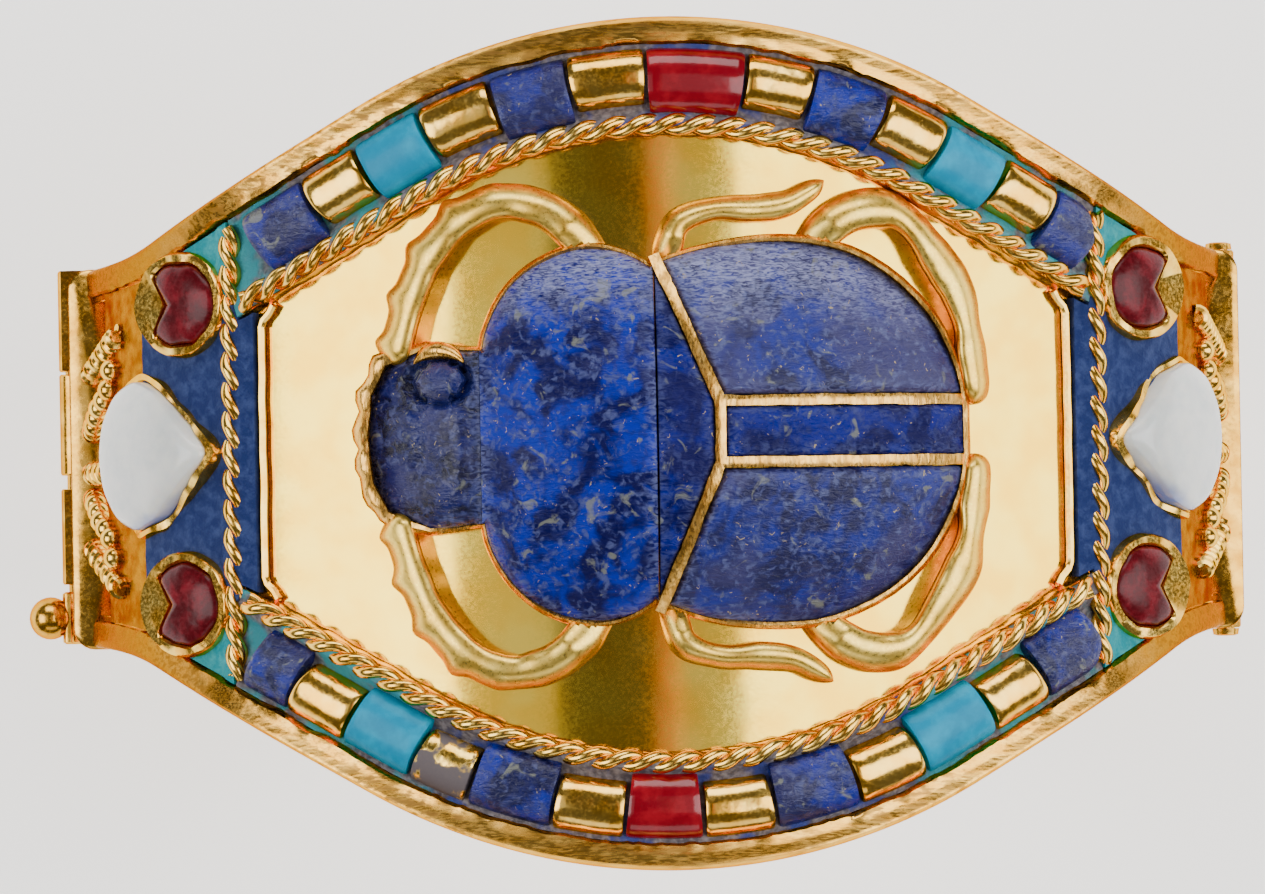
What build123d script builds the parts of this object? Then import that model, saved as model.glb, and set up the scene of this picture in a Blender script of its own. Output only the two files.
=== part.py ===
"""Scarab bracelet: a hinged oval with a curved, inlaid plaque over a plain gold band.

Millimetres. The bracelet stands on the foot of its band, +Z up, with the wrist axis along Y.
The scarab lies along X with its head towards -X. The hinge is at the +X end, the clasp at the -X end.
"""

from math import acos, asin, atan2, cos, degrees, hypot, radians, sin, sqrt, tan
import os

from build123d import *

# Oval of the bracelet, seen along the wrist axis
half_width = 31.0
crown_radius = 37.5
shoulder_radius = 21.5
side_radius = 23.9
under_radius = 44.0
foot_length = 10.0
wall = 1.2

# Lens-shaped plan of the plaque
plaque_half_height = 22.3
plaque_arc_radius = 31.0
plaque_flare_radius = 8.0
plaque_end_half_height = 10.4

# Collars that face each other at the hinge and at the clasp
collar_length = 21.0
collar_reach = 1.4
collar_thickness = 1.3
collar_corner = 1.2

# Barrels between the collars
barrel_radius = 0.85
barrel_gap = 0.1
neck_width = 1.3
pin_radius = 0.5
running_clearance = 0.05
knuckle_gap = 0.14
hinge_reach = 0.55
hinge_knuckles = 5
clasp_reach = 1.2
clasp_first_length = 5.6
clasp_second_length = 5.6
clasp_middle_gap = 0.75
clasp_third_length = 5.3
clasp_head_gap = 0.4
clasp_head_length = 2.9
clasp_head_radius = 0.88
clasp_tip_inset = 0.5
clasp_free_play = 0.35
head_ribs = 10
head_rib_depth = 0.16
knob_radius = 1.2
knob_reach = 1.55

# Border of the plaque, measured inwards from its edge and up from its plate
rim_width = 1.45
rim_rise = 1.5
rim_end_rise = 0.3
tile_inset = 3.2
tile_margin = 0.2
tile_height = 1.15
tile_joint = 0.26
bed_rise = 0.35
rope_inset = 5.7
rope_width = 1.1
rope_height = 1.0
rope_seat_rise = 0.6
rope_end_x = 22.6
rope_end_gap = 0.3
lip_x = 21.2
lip_width = 0.4
lip_rise = 0.55
lip_half_height = 7.8

# Small gap between pieces that are set against each other
set_gap = 0.05

# Scarab, about its own centre line
scarab_y = 0.5
dome_rise = 4.5
dome_long_radius = 21.8
dome_cross_radius = 18.2
head_drop = 0.5
bezel_width = 0.4
bezel_rise = 1.3
cloison_width = 0.73
stone_joint = 0.12
chevron_x = 2.5
strip_half_width = 1.6
leg_rise = 1.9
leg_step = 0.25
tooth_length = 0.55
eye_radius = 1.25
eye_rise = 0.35

# End ornaments
bud_x = 25.9
bud_y = 8.0
bud_tilt = 40.0
bud_half_length = 3.1
bud_half_width = 2.8
bud_wall = 0.6
bud_stand = 1.9
bud_flare = 5.0
bud_dome_radius = 5.0
bud_dome_rise = 0.35
bud_depth = 1.4
notch_width = 1.7
notch_length = 1.7
mandrake_tilt = 54.0
mandrake_half_length = 5.9
mandrake_half_width = 3.8
mandrake_height = 2.2
mandrake_dome_radius = 14.0
mandrake_bezel = 0.45
mandrake_rise = 1.1
enamel_rise = 0.65
enamel_split_y = 7.9
enamel_end_x = 25.4
window_half_height = 8.6
window_top = 6.3
stem_radius = 0.5
granule_radius = 0.6

# Tiles along the border from the clasp end to the hinge end, with their lengths
TOP_TILES = (
    ("lapis", 3.7), ("gold", 3.2), ("turquoise", 3.6), ("gold", 3.8), ("lapis", 3.9), ("gold", 3.9),
    ("carnelian", 5.0), ("gold", 3.5), ("lapis", 3.8), ("gold", 3.4), ("turquoise", 3.5), ("gold", 3.2),
    ("lapis", 2.8),
)
BOTTOM_TILES = (
    ("lapis", 2.7), ("gold", 3.3), ("turquoise", 3.8), ("gold", 3.1), ("lapis", 4.3), ("gold", 3.6),
    ("carnelian", 3.9), ("gold", 3.6), ("lapis", 4.3), ("gold", 3.6), ("turquoise", 4.2), ("gold", 3.3),
    ("lapis", 3.8),
)

# Width of a tile by its kind
TILE_WIDTHS = {"gold": 2.8, "lapis": 3.4, "turquoise": 3.2, "carnelian": 3.3}

# Legs of the scarab's upper side about its centre line: x, y and half width of each section
FRONT_LEG = (
    (-4.6, 9.6, 1.05), (-6.3, 11.8, 1.0), (-8.2, 12.3, 0.95), (-9.8, 12.0, 0.95),
    (-11.5, 10.7, 1.0), (-12.8, 8.9, 1.05), (-13.6, 7.0, 1.0), (-14.2, 4.6, 0.85),
)
MIDDLE_LEG = (
    (0.2, 9.0, 0.7), (0.5, 10.9, 0.65), (1.7, 11.7, 0.65), (3.5, 11.8, 0.6),
    (5.3, 12.0, 0.65), (6.9, 12.6, 0.6), (7.8, 13.2, 0.42),
)
HIND_LEG = (
    (8.0, 10.0, 1.0), (9.4, 11.2, 1.0), (11.0, 11.4, 1.0), (12.6, 10.6, 1.05),
    (14.6, 9.0, 1.05), (15.8, 6.6, 0.9), (16.3, 4.2, 0.75), (16.4, 1.8, 0.6),
)
LEG_TEETH = ((-13.6, 9.4, 148.0), (-14.5, 7.4, 160.0), (-12.2, 11.4, 132.0))

# Outline of the scarab about its centre: the head's corners, then arcs from neck to tail
HEAD_OUTLINE = (
    (-9.0, 4.7), (-10.6, 4.8), (-12.6, 5.1), (-15.0, 4.1), (-15.9, 2.4),
    (-15.9, -2.4), (-15.0, -4.1), (-12.6, -5.1), (-10.6, -4.8), (-9.0, -4.7),
)
BODY_ARCS = (
    ((-9.9, 4.9), (-8.1, 8.3), (-4.7, 10.0)),
    ((-4.7, 10.0), (-2.7, 9.8), (-0.9, 8.9)),
    ((-0.9, 8.9), (2.6, 10.0), (6.4, 10.3)),
    ((6.4, 10.3), (13.1, 7.4), (15.9, 0.0)),
)

# Wire-wrapped stems and granules of one end: height above the hinge level, and place along Y
TOP_START = -23.0
BOTTOM_START = -23.4
EYE = (-11.8, 3.0)
SNOUT_TEETH = 5
STEMS = ((2.0, 5.0, 8.6, 7.2), (2.0, 0.0, 7.0, 0.0), (2.0, -5.0, 8.6, -7.2))
GRANULES = (
    (7.9, 4.9), (7.05, 4.7), (6.2, 4.4), (5.35, 4.05), (4.5, 3.7),
    (7.9, -4.9), (7.05, -4.7), (6.2, -4.4), (5.35, -4.05), (4.5, -3.7),
)

# Back band, pins and the gold strip of the scarab's outline
band_half_height = 9.5
band_edge = 0.3
pin_head_length = 0.4
pin_head_radius = 0.75
cloison_proud = 0.12
neck_x = -9.9
snout_pitch = 0.9
seam_x = -0.75

# Worked out from the sizes above
crown_angle = asin((half_width - shoulder_radius) / (crown_radius - shoulder_radius))
crown_height = crown_radius - (crown_radius - shoulder_radius) * cos(crown_angle)
under_angle = asin((half_width - foot_length / 2 - side_radius) / (under_radius - side_radius))
hinge_z = under_radius - (under_radius - side_radius) * cos(under_angle)
crown_z = hinge_z + crown_height
crown_centre_z = crown_z - crown_radius
leaf_gap = barrel_radius + barrel_gap
left_reach = half_width + clasp_reach + knob_reach + knob_radius
right_reach = half_width + collar_reach
hoop_x = (left_reach - right_reach) / 2
bore_radius = pin_radius + running_clearance
mandrake_x = half_width - shoulder_radius + shoulder_radius * sin(radians(mandrake_tilt))
stock = 60.0


def surface_slope(x):
    """Slope angle of the plate's outer face at a distance x from the middle, in radians."""
    reach = abs(x)
    if reach <= crown_radius * sin(crown_angle):
        return asin(reach / crown_radius)
    return asin(min((reach - half_width + shoulder_radius) / shoulder_radius, 1.0))


def surface_z(x):
    """Height of the plate's outer face at a distance x from the middle."""
    angle = surface_slope(x)
    if abs(x) <= crown_radius * sin(crown_angle):
        return crown_centre_z + crown_radius * cos(angle)
    return hinge_z + shoulder_radius * cos(angle)


def front_outline(rise, end_rise):
    """Closed outline above the hinge level that stands `rise` above the plate, `end_rise` at the ends."""
    span = half_width + end_rise
    crown = crown_radius + rise
    drop = hinge_z - crown_centre_z
    radius = (crown**2 - span**2 - drop**2) / (2 * (crown - span))
    angle = degrees(asin((span - radius) / (crown - radius)))
    CenterArc((hoop_x + span - radius, hinge_z), radius, 0, 90 - angle)
    CenterArc((hoop_x, crown_centre_z), crown, 90 - angle, 2 * angle)
    CenterArc((hoop_x - span + radius, hinge_z), radius, 90 + angle, 90 - angle)
    Line((hoop_x - span, hinge_z), (hoop_x + span, hinge_z))


def back_outline(inset):
    """Closed outline of the back half below the hinge level, `inset` inside its outer face."""
    angle = degrees(under_angle)
    side = side_radius - inset
    under = under_radius - inset
    span = half_width - inset
    flat = foot_length / 2
    CenterArc((hoop_x - half_width + side_radius, hinge_z), side, 180, 90 - angle)
    CenterArc((hoop_x - flat, under_radius), under, 270 - angle, angle)
    Line((hoop_x - flat, inset), (hoop_x + flat, inset))
    CenterArc((hoop_x + flat, under_radius), under, 270, angle)
    CenterArc((hoop_x + half_width - side_radius, hinge_z), side, 270 + angle, 90 - angle)
    Line((hoop_x + span, hinge_z), (hoop_x - span, hinge_z))


def front_layer(low, high, low_end=None, high_end=None):
    """Curved layer of the front half between two heights above the plate."""
    low_end = low if low_end is None else low_end
    high_end = high if high_end is None else high_end
    with BuildPart() as layer:
        with BuildSketch(Plane.XZ):
            with BuildLine():
                front_outline(high, high_end)
            make_face()
            with BuildLine():
                front_outline(low, low_end)
            make_face(mode=Mode.SUBTRACT)
        extrude(amount=stock, both=True)
        with Locations((hoop_x, 0, hinge_z + leaf_gap)):
            Box(4 * half_width, 3 * stock, stock, align=(Align.CENTER, Align.CENTER, Align.MAX), mode=Mode.SUBTRACT)
    return layer.part


def plan_geometry():
    """Angle of the straight flank and the centre of the flare, from the two arcs that it joins."""
    flare_y = plaque_end_half_height + plaque_flare_radius
    rise = flare_y - (plaque_half_height - plaque_arc_radius)
    distance = hypot(half_width, rise)
    return atan2(half_width, rise) - acos((plaque_arc_radius + plaque_flare_radius) / distance), flare_y


flank_angle, flare_y = plan_geometry()
arc_y = plaque_half_height - plaque_arc_radius


def plan_point(inset, share):
    """Point on the plan's arc (share 0 to 1) at an inset, on the upper right quarter."""
    radius = plaque_arc_radius - inset
    return radius * sin(flank_angle * share), arc_y + radius * cos(flank_angle * share)


def plan_outline(inset, end):
    """Closed lens-shaped outline in plan, `inset` inside the plaque's edge, with ends at x = `end`."""
    radius = plaque_arc_radius - inset
    flare = plaque_flare_radius + inset
    turn = degrees(flank_angle)
    flank_start = plan_point(inset, 1)
    flank_end = (half_width - flare * sin(flank_angle), flare_y - flare * cos(flank_angle))
    end_y = plaque_end_half_height - inset
    for side in (1, -1):
        CenterArc((hoop_x, side * arc_y), radius, side * 90 - turn, 2 * turn)
        for way in (1, -1):
            Line((hoop_x + way * flank_start[0], side * flank_start[1]), (hoop_x + way * flank_end[0], side * flank_end[1]))
            flare_from = 270 - turn if way * side > 0 else 270
            flare_from = flare_from if side > 0 else flare_from - 180
            CenterArc((hoop_x + way * half_width, side * flare_y), flare, flare_from, turn)
            Line((hoop_x + way * half_width, side * end_y), (hoop_x + way * end, side * end_y))
    for way in (1, -1):
        Line((hoop_x + way * end, -end_y), (hoop_x + way * end, end_y))


def plan_block(outer_inset, inner_inset=None, end=half_width + stock / 10):
    """Upright block with the plaque's plan, or a frame of it between two insets."""
    with BuildPart() as block:
        with BuildSketch():
            with BuildLine():
                plan_outline(outer_inset, end)
            make_face()
            if inner_inset is not None:
                with BuildLine():
                    plan_outline(inner_inset, end + 1)
                make_face(mode=Mode.SUBTRACT)
        extrude(amount=crown_z + stock)
    return block.part


def side_block(low_x, high_x, half_height, side, low_z=0.0):
    """Upright block at one end of the plaque, between two distances from the middle."""
    with BuildPart() as block:
        with BuildSketch(Plane.XY.offset(low_z)):
            with Locations((hoop_x + side * (low_x + high_x) / 2, 0)):
                Rectangle(high_x - low_x, 2 * half_height)
        extrude(amount=stock)
    return block.part


def row_block(half_length, end=0):
    """Upright block over the plaque's middle: all of it, or its upper (1) or lower (-1) half."""
    with BuildPart() as block:
        with BuildSketch():
            with Locations((hoop_x, end * stock / 2)):
                Rectangle(2 * half_length, stock)
        extrude(amount=2 * stock)
    return block.part


def seat_plane(x, y, tilt, stand):
    """Plane `stand` straight above the plate, its x axis towards +X, tilted outwards."""
    lean = radians(tilt) if x > 0 else -radians(tilt)
    origin = (hoop_x + x, y, surface_z(x) + stand)
    return Plane(origin=origin, x_dir=(cos(lean), 0, -sin(lean)), z_dir=(sin(lean), 0, cos(lean)))


def flank_y(inset, x):
    """Height in plan of the straight flank at an inset and a distance x from the middle."""
    start_x, start_y = plan_point(inset, 1)
    return start_y - (abs(x) - start_x) * tan(flank_angle)


def shoulder_x(height):
    """Distance from the middle of the plate's outer face at a height above the hinge level."""
    return half_width - shoulder_radius + sqrt(shoulder_radius**2 - height**2)


def bud_cup(side, end, grow=0.0):
    """Flared cup of a poppy bud, cut to the plate below."""
    with BuildPart() as cup:
        with BuildSketch(seat_plane(side * bud_x, end * bud_y, bud_tilt, bud_stand)):
            Ellipse(bud_half_length + grow, bud_half_width + grow)
        extrude(amount=-(bud_stand + bud_half_length), taper=-bud_flare)
        add(front_layer(-wall / 2, stock / 4), mode=Mode.INTERSECT)
    return cup.part


def bud_outline(side, grow):
    """Outline of the room for a bud's stone, with the gold notch on the collar side."""
    length = bud_half_length - bud_wall + grow
    Ellipse(length, bud_half_width - bud_wall + grow)
    half = notch_width / 2 - grow
    base = side * (length + bud_wall)
    tip = side * (length - notch_length)
    Polygon((base, half), (tip, 0), (base, -half), align=None, mode=Mode.SUBTRACT)


def bud_room(side, end):
    """Pocket in a cup that holds the bud's stone."""
    with BuildPart() as room:
        with BuildSketch(seat_plane(side * bud_x, end * bud_y, bud_tilt, bud_stand)):
            bud_outline(side, 0)
        extrude(amount=-bud_depth)
    return room.part


def mandrake_outline(side):
    """Drop-shaped outline that points towards the scarab, its round end towards the collar."""
    length, width = mandrake_half_length, mandrake_half_width
    Polygon(
        (-side * length, 0),
        (-side * length * 0.18, width * 1.12),
        (side * length, width * 0.8),
        (side * length, -width * 0.8),
        (-side * length * 0.18, -width * 1.12),
        align=None,
    )


def mandrake_block(side, grow):
    """The mandrake's rounded outline, grown all round, as a block square to the plate below it."""
    with BuildPart() as block:
        with BuildSketch(seat_plane(side * mandrake_x, 0, mandrake_tilt, 0)) as outline:
            mandrake_outline(side)
            fillet(outline.vertices().sort_by(Axis.X)[0 if side > 0 else -1], mandrake_half_width * 0.1)
            fillet(outline.vertices().group_by(Axis.X)[-1 if side > 0 else 0], mandrake_half_width * 0.62)
            shoulders = outline.vertices().group_by(Axis.Y)
            fillet(shoulders[0] + shoulders[-1], mandrake_half_width * 0.34)
            if grow:
                offset(amount=grow)
        extrude(amount=stock / 8, both=True)
    return block.part


def collar(side, way):
    """Flange at one end of the front half (way 1) or the back half (way -1)."""
    base = hinge_z + leaf_gap if way > 0 else hinge_z - leaf_gap - collar_thickness
    depth = wall + collar_reach
    with BuildPart() as flange:
        with BuildSketch(Plane.XY.offset(base)) as outline:
            with Locations((hoop_x + side * (half_width - wall + depth / 2), 0)):
                Rectangle(depth, collar_length)
            fillet(outline.vertices().group_by(Axis.X)[-1 if side > 0 else 0], collar_corner)
        extrude(amount=collar_thickness)
    return flange.part


def knuckle(x, high_y, length, way):
    """Tube on a barrel's axis with the neck that joins it to its own collar."""
    with BuildPart() as tube:
        with BuildSketch(Plane.XZ.offset(-high_y)):
            with Locations((hoop_x + x, hinge_z)):
                Circle(barrel_radius)
            with Locations((hoop_x + x, hinge_z + way * (leaf_gap + collar_thickness / 2) / 2)):
                Rectangle(neck_width, leaf_gap + collar_thickness / 2)
            with Locations((hoop_x + x, hinge_z)):
                Circle(bore_radius, mode=Mode.SUBTRACT)
        extrude(amount=length)
    return tube.part


def scarab_block(grow):
    """Upright block with the outline of the scarab's body, grown by an amount."""
    with BuildPart() as block:
        with BuildSketch() as outline:
            with Locations((hoop_x, scarab_y)):
                Polygon(*HEAD_OUTLINE, align=None)
            with BuildLine():
                for start, middle, stop in BODY_ARCS:
                    for way in (1, -1):
                        ThreePointArc(
                            (hoop_x + start[0], scarab_y + way * start[1]),
                            (hoop_x + middle[0], scarab_y + way * middle[1]),
                            (hoop_x + stop[0], scarab_y + way * stop[1]),
                        )
                neck = BODY_ARCS[0][0]
                Line((hoop_x + neck[0], scarab_y - neck[1]), (hoop_x + neck[0], scarab_y + neck[1]))
            make_face()
            if grow:
                offset(amount=grow)
        extrude(amount=2 * stock)
    return block.part


def plan_region(*points):
    """Upright block with a straight-sided plan, its corners about the scarab's centre."""
    with BuildPart() as block:
        with BuildSketch():
            with Locations((hoop_x, scarab_y)):
                Polygon(*points, align=None)
        extrude(amount=2 * stock)
    return block.part


def dome_block(drop):
    """Body of revolution with the scarab's domed back, lowered by an amount."""
    apex = crown_z + dome_rise - drop
    reach = sqrt(dome_long_radius**2 - (dome_long_radius - dome_cross_radius) ** 2)
    with BuildPart() as dome:
        with BuildSketch(Plane.XZ.offset(-scarab_y)):
            with BuildLine():
                ThreePointArc(
                    (hoop_x - reach, apex - dome_cross_radius),
                    (hoop_x, apex),
                    (hoop_x + reach, apex - dome_cross_radius),
                )
                Line((hoop_x - reach, apex - dome_cross_radius), (hoop_x + reach, apex - dome_cross_radius))
            make_face()
        revolve(axis=Axis((hoop_x, scarab_y, apex - dome_cross_radius), (1, 0, 0)))
    return dome.part


def dome_z(x, y):
    """Height of the scarab's domed back at a point about its centre."""
    ring = sqrt(dome_long_radius**2 - x**2) - dome_long_radius + dome_cross_radius
    return crown_z + dome_rise - dome_cross_radius + sqrt(ring**2 - y**2)


def joint_block(x):
    """Thin upright block where two of the scarab's stones meet without a bar."""
    with BuildPart() as block:
        with BuildSketch():
            with Locations((hoop_x + x, scarab_y)):
                Rectangle(stone_joint, half_width)
        extrude(amount=2 * stock)
    return block.part


def bar_block(width):
    """Upright block over the gold bars that part the scarab's stones."""
    shoulder_y = BODY_ARCS[2][0][1] + bezel_width
    with BuildPart() as block:
        with BuildSketch():
            with BuildLine():
                for way in (1, -1):
                    Polyline(
                        (hoop_x + seam_x, scarab_y + way * shoulder_y),
                        (hoop_x + chevron_x, scarab_y + way * strip_half_width),
                        (hoop_x + half_width, scarab_y + way * strip_half_width),
                    )
                Line(
                    (hoop_x + chevron_x, scarab_y - strip_half_width),
                    (hoop_x + chevron_x, scarab_y + strip_half_width),
                )
            trace(line_width=width)
        extrude(amount=2 * stock)
    return block.part


def limb(sections, inset):
    """Outline of a leg through its sections, each a circle about the scarab's centre."""
    for first, second in zip(sections, sections[1:]):
        with BuildSketch(mode=Mode.PRIVATE) as piece:
            for x, y, half in (first, second):
                with Locations((hoop_x + x, scarab_y + y)):
                    Circle(half - inset)
            make_hull()
        add(piece.sketch)


def leg(sections):
    """One raised leg: a full lower step and a narrower upper step."""
    with BuildPart() as piece:
        with BuildSketch():
            limb(sections, 0)
        extrude(amount=2 * stock)
        add(front_layer(set_gap, leg_rise - leg_step), mode=Mode.INTERSECT)
        with BuildPart(mode=Mode.PRIVATE) as crest:
            with BuildSketch():
                limb(sections, leg_step)
            extrude(amount=2 * stock)
            add(front_layer(set_gap, leg_rise), mode=Mode.INTERSECT)
        add(crest.part)
    return piece.part


def row_point(distance, inset, end):
    """Point in plan at an inset, beside the tile row's own distance from the middle."""
    arc = (plaque_arc_radius - tile_inset) * flank_angle
    along = min(abs(distance), arc)
    angle = along / (plaque_arc_radius - tile_inset)
    beyond = abs(distance) - along
    x = (plaque_arc_radius - inset) * sin(angle) + beyond * cos(flank_angle)
    y = arc_y + (plaque_arc_radius - inset) * cos(angle) - beyond * sin(flank_angle)
    return (x if distance > 0 else -x), end * y


def border_tile(kind, start, stop, end):
    """Half-round tile between two distances along its row, its flat side tangent to the bed."""
    width = TILE_WIDTHS[kind]
    inset = rim_width + tile_margin + width / 2
    first_x, first_y = row_point(start, inset, end)
    last_x, last_y = row_point(stop, inset, end)
    middle_x, middle_y = row_point((start + stop) / 2, inset, end)
    slope = surface_slope(middle_x) if middle_x > 0 else -surface_slope(middle_x)
    normal = Vector(sin(slope), 0, cos(slope))
    along = Vector(last_x - first_x, last_y - first_y, surface_z(last_x) - surface_z(first_x))
    length = along.length - tile_joint
    along = (along - normal * along.dot(normal)).normalized()
    base = Vector(hoop_x + middle_x, middle_y, surface_z(middle_x)) + normal * (bed_rise + set_gap)
    radius = (width**2 / 4 + tile_height**2) / (2 * tile_height)
    with BuildPart() as tile:
        with BuildSketch(Plane(origin=base, z_dir=along, x_dir=normal.cross(along))):
            with Locations((0, tile_height - radius)):
                Circle(radius)
            with Locations((0, tile_height)):
                Rectangle(2 * width, 2 * tile_height, mode=Mode.INTERSECT)
        extrude(amount=length / 2, both=True)
        with Locations((hoop_x, 0, 0)):
            Box(2 * (rope_end_x - rope_width / 2 - set_gap), stock, 4 * stock, mode=Mode.INTERSECT)
    return tile.part


def tile_row(tiles, start, end):
    """Tiles of one border row, from the clasp end."""
    row = []
    for kind, length in tiles:
        row.append(border_tile(kind, start, start + length, end))
        start += length
    return row


def end_rope(side):
    """Rope across the border at one end: a round wire just above the enamel."""
    half = flank_y(rim_width, rope_end_x) - rope_end_gap
    with BuildPart() as rope:
        with BuildSketch(Plane.XZ):
            lift = (enamel_rise + set_gap + rope_width / 2) / cos(surface_slope(rope_end_x))
            with Locations((hoop_x + side * rope_end_x, surface_z(rope_end_x) + lift)):
                Circle(rope_width / 2)
        extrude(amount=half, both=True)
    return rope.part


# Hinge at the +X end: the knuckles of the two halves take turns along the barrel
hinge_x = half_width + hinge_reach
hinge_pitch = (collar_length + knuckle_gap) / hinge_knuckles
hinge_tubes = [
    knuckle(hinge_x, collar_length / 2 - n * hinge_pitch, hinge_pitch - knuckle_gap, 1 if n % 2 == 0 else -1)
    for n in range(hinge_knuckles)
]

# Clasp at the -X end: front, back and front knuckle, then the head of the sliding pin
clasp_x = -(half_width + clasp_reach)
clasp_second_top = collar_length / 2 - clasp_first_length - knuckle_gap
clasp_second_bottom = clasp_second_top - clasp_second_length
clasp_third_top = clasp_second_bottom - clasp_middle_gap
clasp_head_top = clasp_third_top - clasp_third_length - clasp_head_gap
clasp_tip = collar_length / 2 - clasp_tip_inset
clasp_travel = clasp_tip - clasp_second_bottom + clasp_free_play
clasp_front_tubes = [
    knuckle(clasp_x, collar_length / 2, clasp_first_length, 1),
    knuckle(clasp_x, clasp_third_top, clasp_third_length, 1),
]
clasp_back_tube = knuckle(clasp_x, clasp_second_top, clasp_second_length, -1)

# Strips that follow the border
rope_outer = rope_inset - rope_width / 2
rope_inner = rope_inset + rope_width / 2
rope_low = rope_seat_rise + set_gap
plaque_rim = front_layer(-wall / 2, rim_rise, -wall / 2, rim_end_rise) & plan_block(0, rim_width)
rope_frame = plan_block(rope_outer, rope_inner)
rope_seat = front_layer(-wall / 2, rope_seat_rise) & rope_frame & row_block(rope_end_x - rope_width / 2)
window_low = leaf_gap + collar_thickness

with BuildPart() as gold_mount:
    add(front_layer(-wall, 0))
    add(plan_block(0), mode=Mode.INTERSECT)
    for side in (1, -1):
        add(
            side_block(half_width - 3 * wall, stock, window_half_height, side, hinge_z + window_low)
            & side_block(0, stock, stock, side, hinge_z + window_top - stock),
            mode=Mode.SUBTRACT,
        )
    add(plaque_rim)
    add(rope_seat)
    for side in (1, -1):
        add(
            front_layer(-wall / 2, lip_rise)
            & side_block(lip_x - lip_width / 2, lip_x + lip_width / 2, lip_half_height, side)
        )
        add(collar(side, 1))
        bezel = mandrake_block(side, set_gap + mandrake_bezel) & front_layer(-wall / 2, mandrake_rise)
        add(bezel)
        for end in (1, -1):
            add(bud_cup(side, end))
        for low, low_y, high, high_y in STEMS:
            start = Vector(hoop_x + side * shoulder_x(low), low_y, hinge_z + low)
            stop = Vector(hoop_x + side * shoulder_x(high), high_y, hinge_z + high)
            with BuildSketch(Plane(origin=start, z_dir=stop - start)):
                Circle(stem_radius)
            extrude(amount=(stop - start).length)
        for high, high_y in GRANULES:
            with Locations((hoop_x + side * shoulder_x(high), high_y, hinge_z + high)):
                Sphere(granule_radius)
        add(
            mandrake_block(side, set_gap) & front_layer(0, stock / 4),
            mode=Mode.SUBTRACT,
        )
        for end in (1, -1):
            add(bud_room(side, end), mode=Mode.SUBTRACT)
    for tube in hinge_tubes[::2] + clasp_front_tubes:
        add(tube)
gold_mount.part.label = "gold_mount"


# Border: cement bed, tiles and ropes
cement = front_layer(set_gap, bed_rise) & plan_block(rim_width + set_gap, rope_outer - set_gap)
channel_fill_top = cement & row_block(rope_end_x - set_gap, 1)
channel_fill_top.label = "channel_fill_top"
channel_fill_bottom = cement & row_block(rope_end_x - set_gap, -1)
channel_fill_bottom.label = "channel_fill_bottom"
top_tiles = tile_row(TOP_TILES, TOP_START, 1)
bottom_tiles = tile_row(BOTTOM_TILES, BOTTOM_START, -1)
rope_reach = rope_end_x - rope_width / 2 - rope_end_gap
rope_bar = front_layer(rope_low, rope_low + rope_height) & rope_frame
rope_top = rope_bar & row_block(rope_reach, 1)
rope_top.label = "rope_top"
rope_bottom = rope_bar & row_block(rope_reach, -1)
rope_bottom.label = "rope_bottom"
rope_left = end_rope(-1)
rope_left.label = "rope_left"
rope_right = end_rope(1)
rope_right.label = "rope_right"

# Scarab: stones under one domed back, held by bars and a bezel with the legs
stone_layer = front_layer(set_gap, 2 * dome_rise)
stone_room = scarab_block(-bezel_width)
stone_block = scarab_block(-bezel_width - set_gap) & stone_layer
far = 2 * half_width
shoulder_y = BODY_ARCS[2][0][1] + bezel_width
dome = dome_block(0)
stone_cells = (stone_block & dome) - bar_block(cloison_width + 2 * set_gap)
stone_cells = stone_cells - joint_block(neck_x) - joint_block(seam_x)

with BuildPart() as scarab_head:
    add(stone_block)
    add(dome_block(head_drop), mode=Mode.INTERSECT)
    with Locations((hoop_x + EYE[0], scarab_y + EYE[1], dome_z(*EYE) - head_drop + eye_rise - eye_radius)):
        Sphere(eye_radius)
    add(stone_block, mode=Mode.INTERSECT)
    add(joint_block(neck_x), mode=Mode.SUBTRACT)
    add(plan_region((-far, -far), (neck_x, -far), (neck_x, far), (-far, far)), mode=Mode.INTERSECT)
scarab_head = scarab_head.part
scarab_head.label = "scarab_head"
scarab_thorax = stone_cells & plan_region((neck_x, -far), (seam_x, -far), (seam_x, far), (neck_x, far))
scarab_thorax.label = "scarab_thorax"
scarab_shoulder_plate = stone_cells & plan_region(
    (seam_x, -shoulder_y), (chevron_x, -strip_half_width), (chevron_x, strip_half_width), (seam_x, shoulder_y)
)
scarab_shoulder_plate.label = "scarab_shoulder_plate"
scarab_back_strip = stone_cells & plan_region(
    (chevron_x, -strip_half_width), (far, -strip_half_width), (far, strip_half_width), (chevron_x, strip_half_width)
)
scarab_back_strip.label = "scarab_back_strip"
scarab_wing_case_top = stone_cells & plan_region(
    (seam_x, far), (seam_x, shoulder_y), (chevron_x, strip_half_width), (far, strip_half_width), (far, far)
)
scarab_wing_case_top.label = "scarab_wing_case_top"
scarab_wing_case_bottom = stone_cells & plan_region(
    (seam_x, -far), (far, -far), (far, -strip_half_width), (chevron_x, -strip_half_width), (seam_x, -shoulder_y)
)
scarab_wing_case_bottom.label = "scarab_wing_case_bottom"

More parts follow.
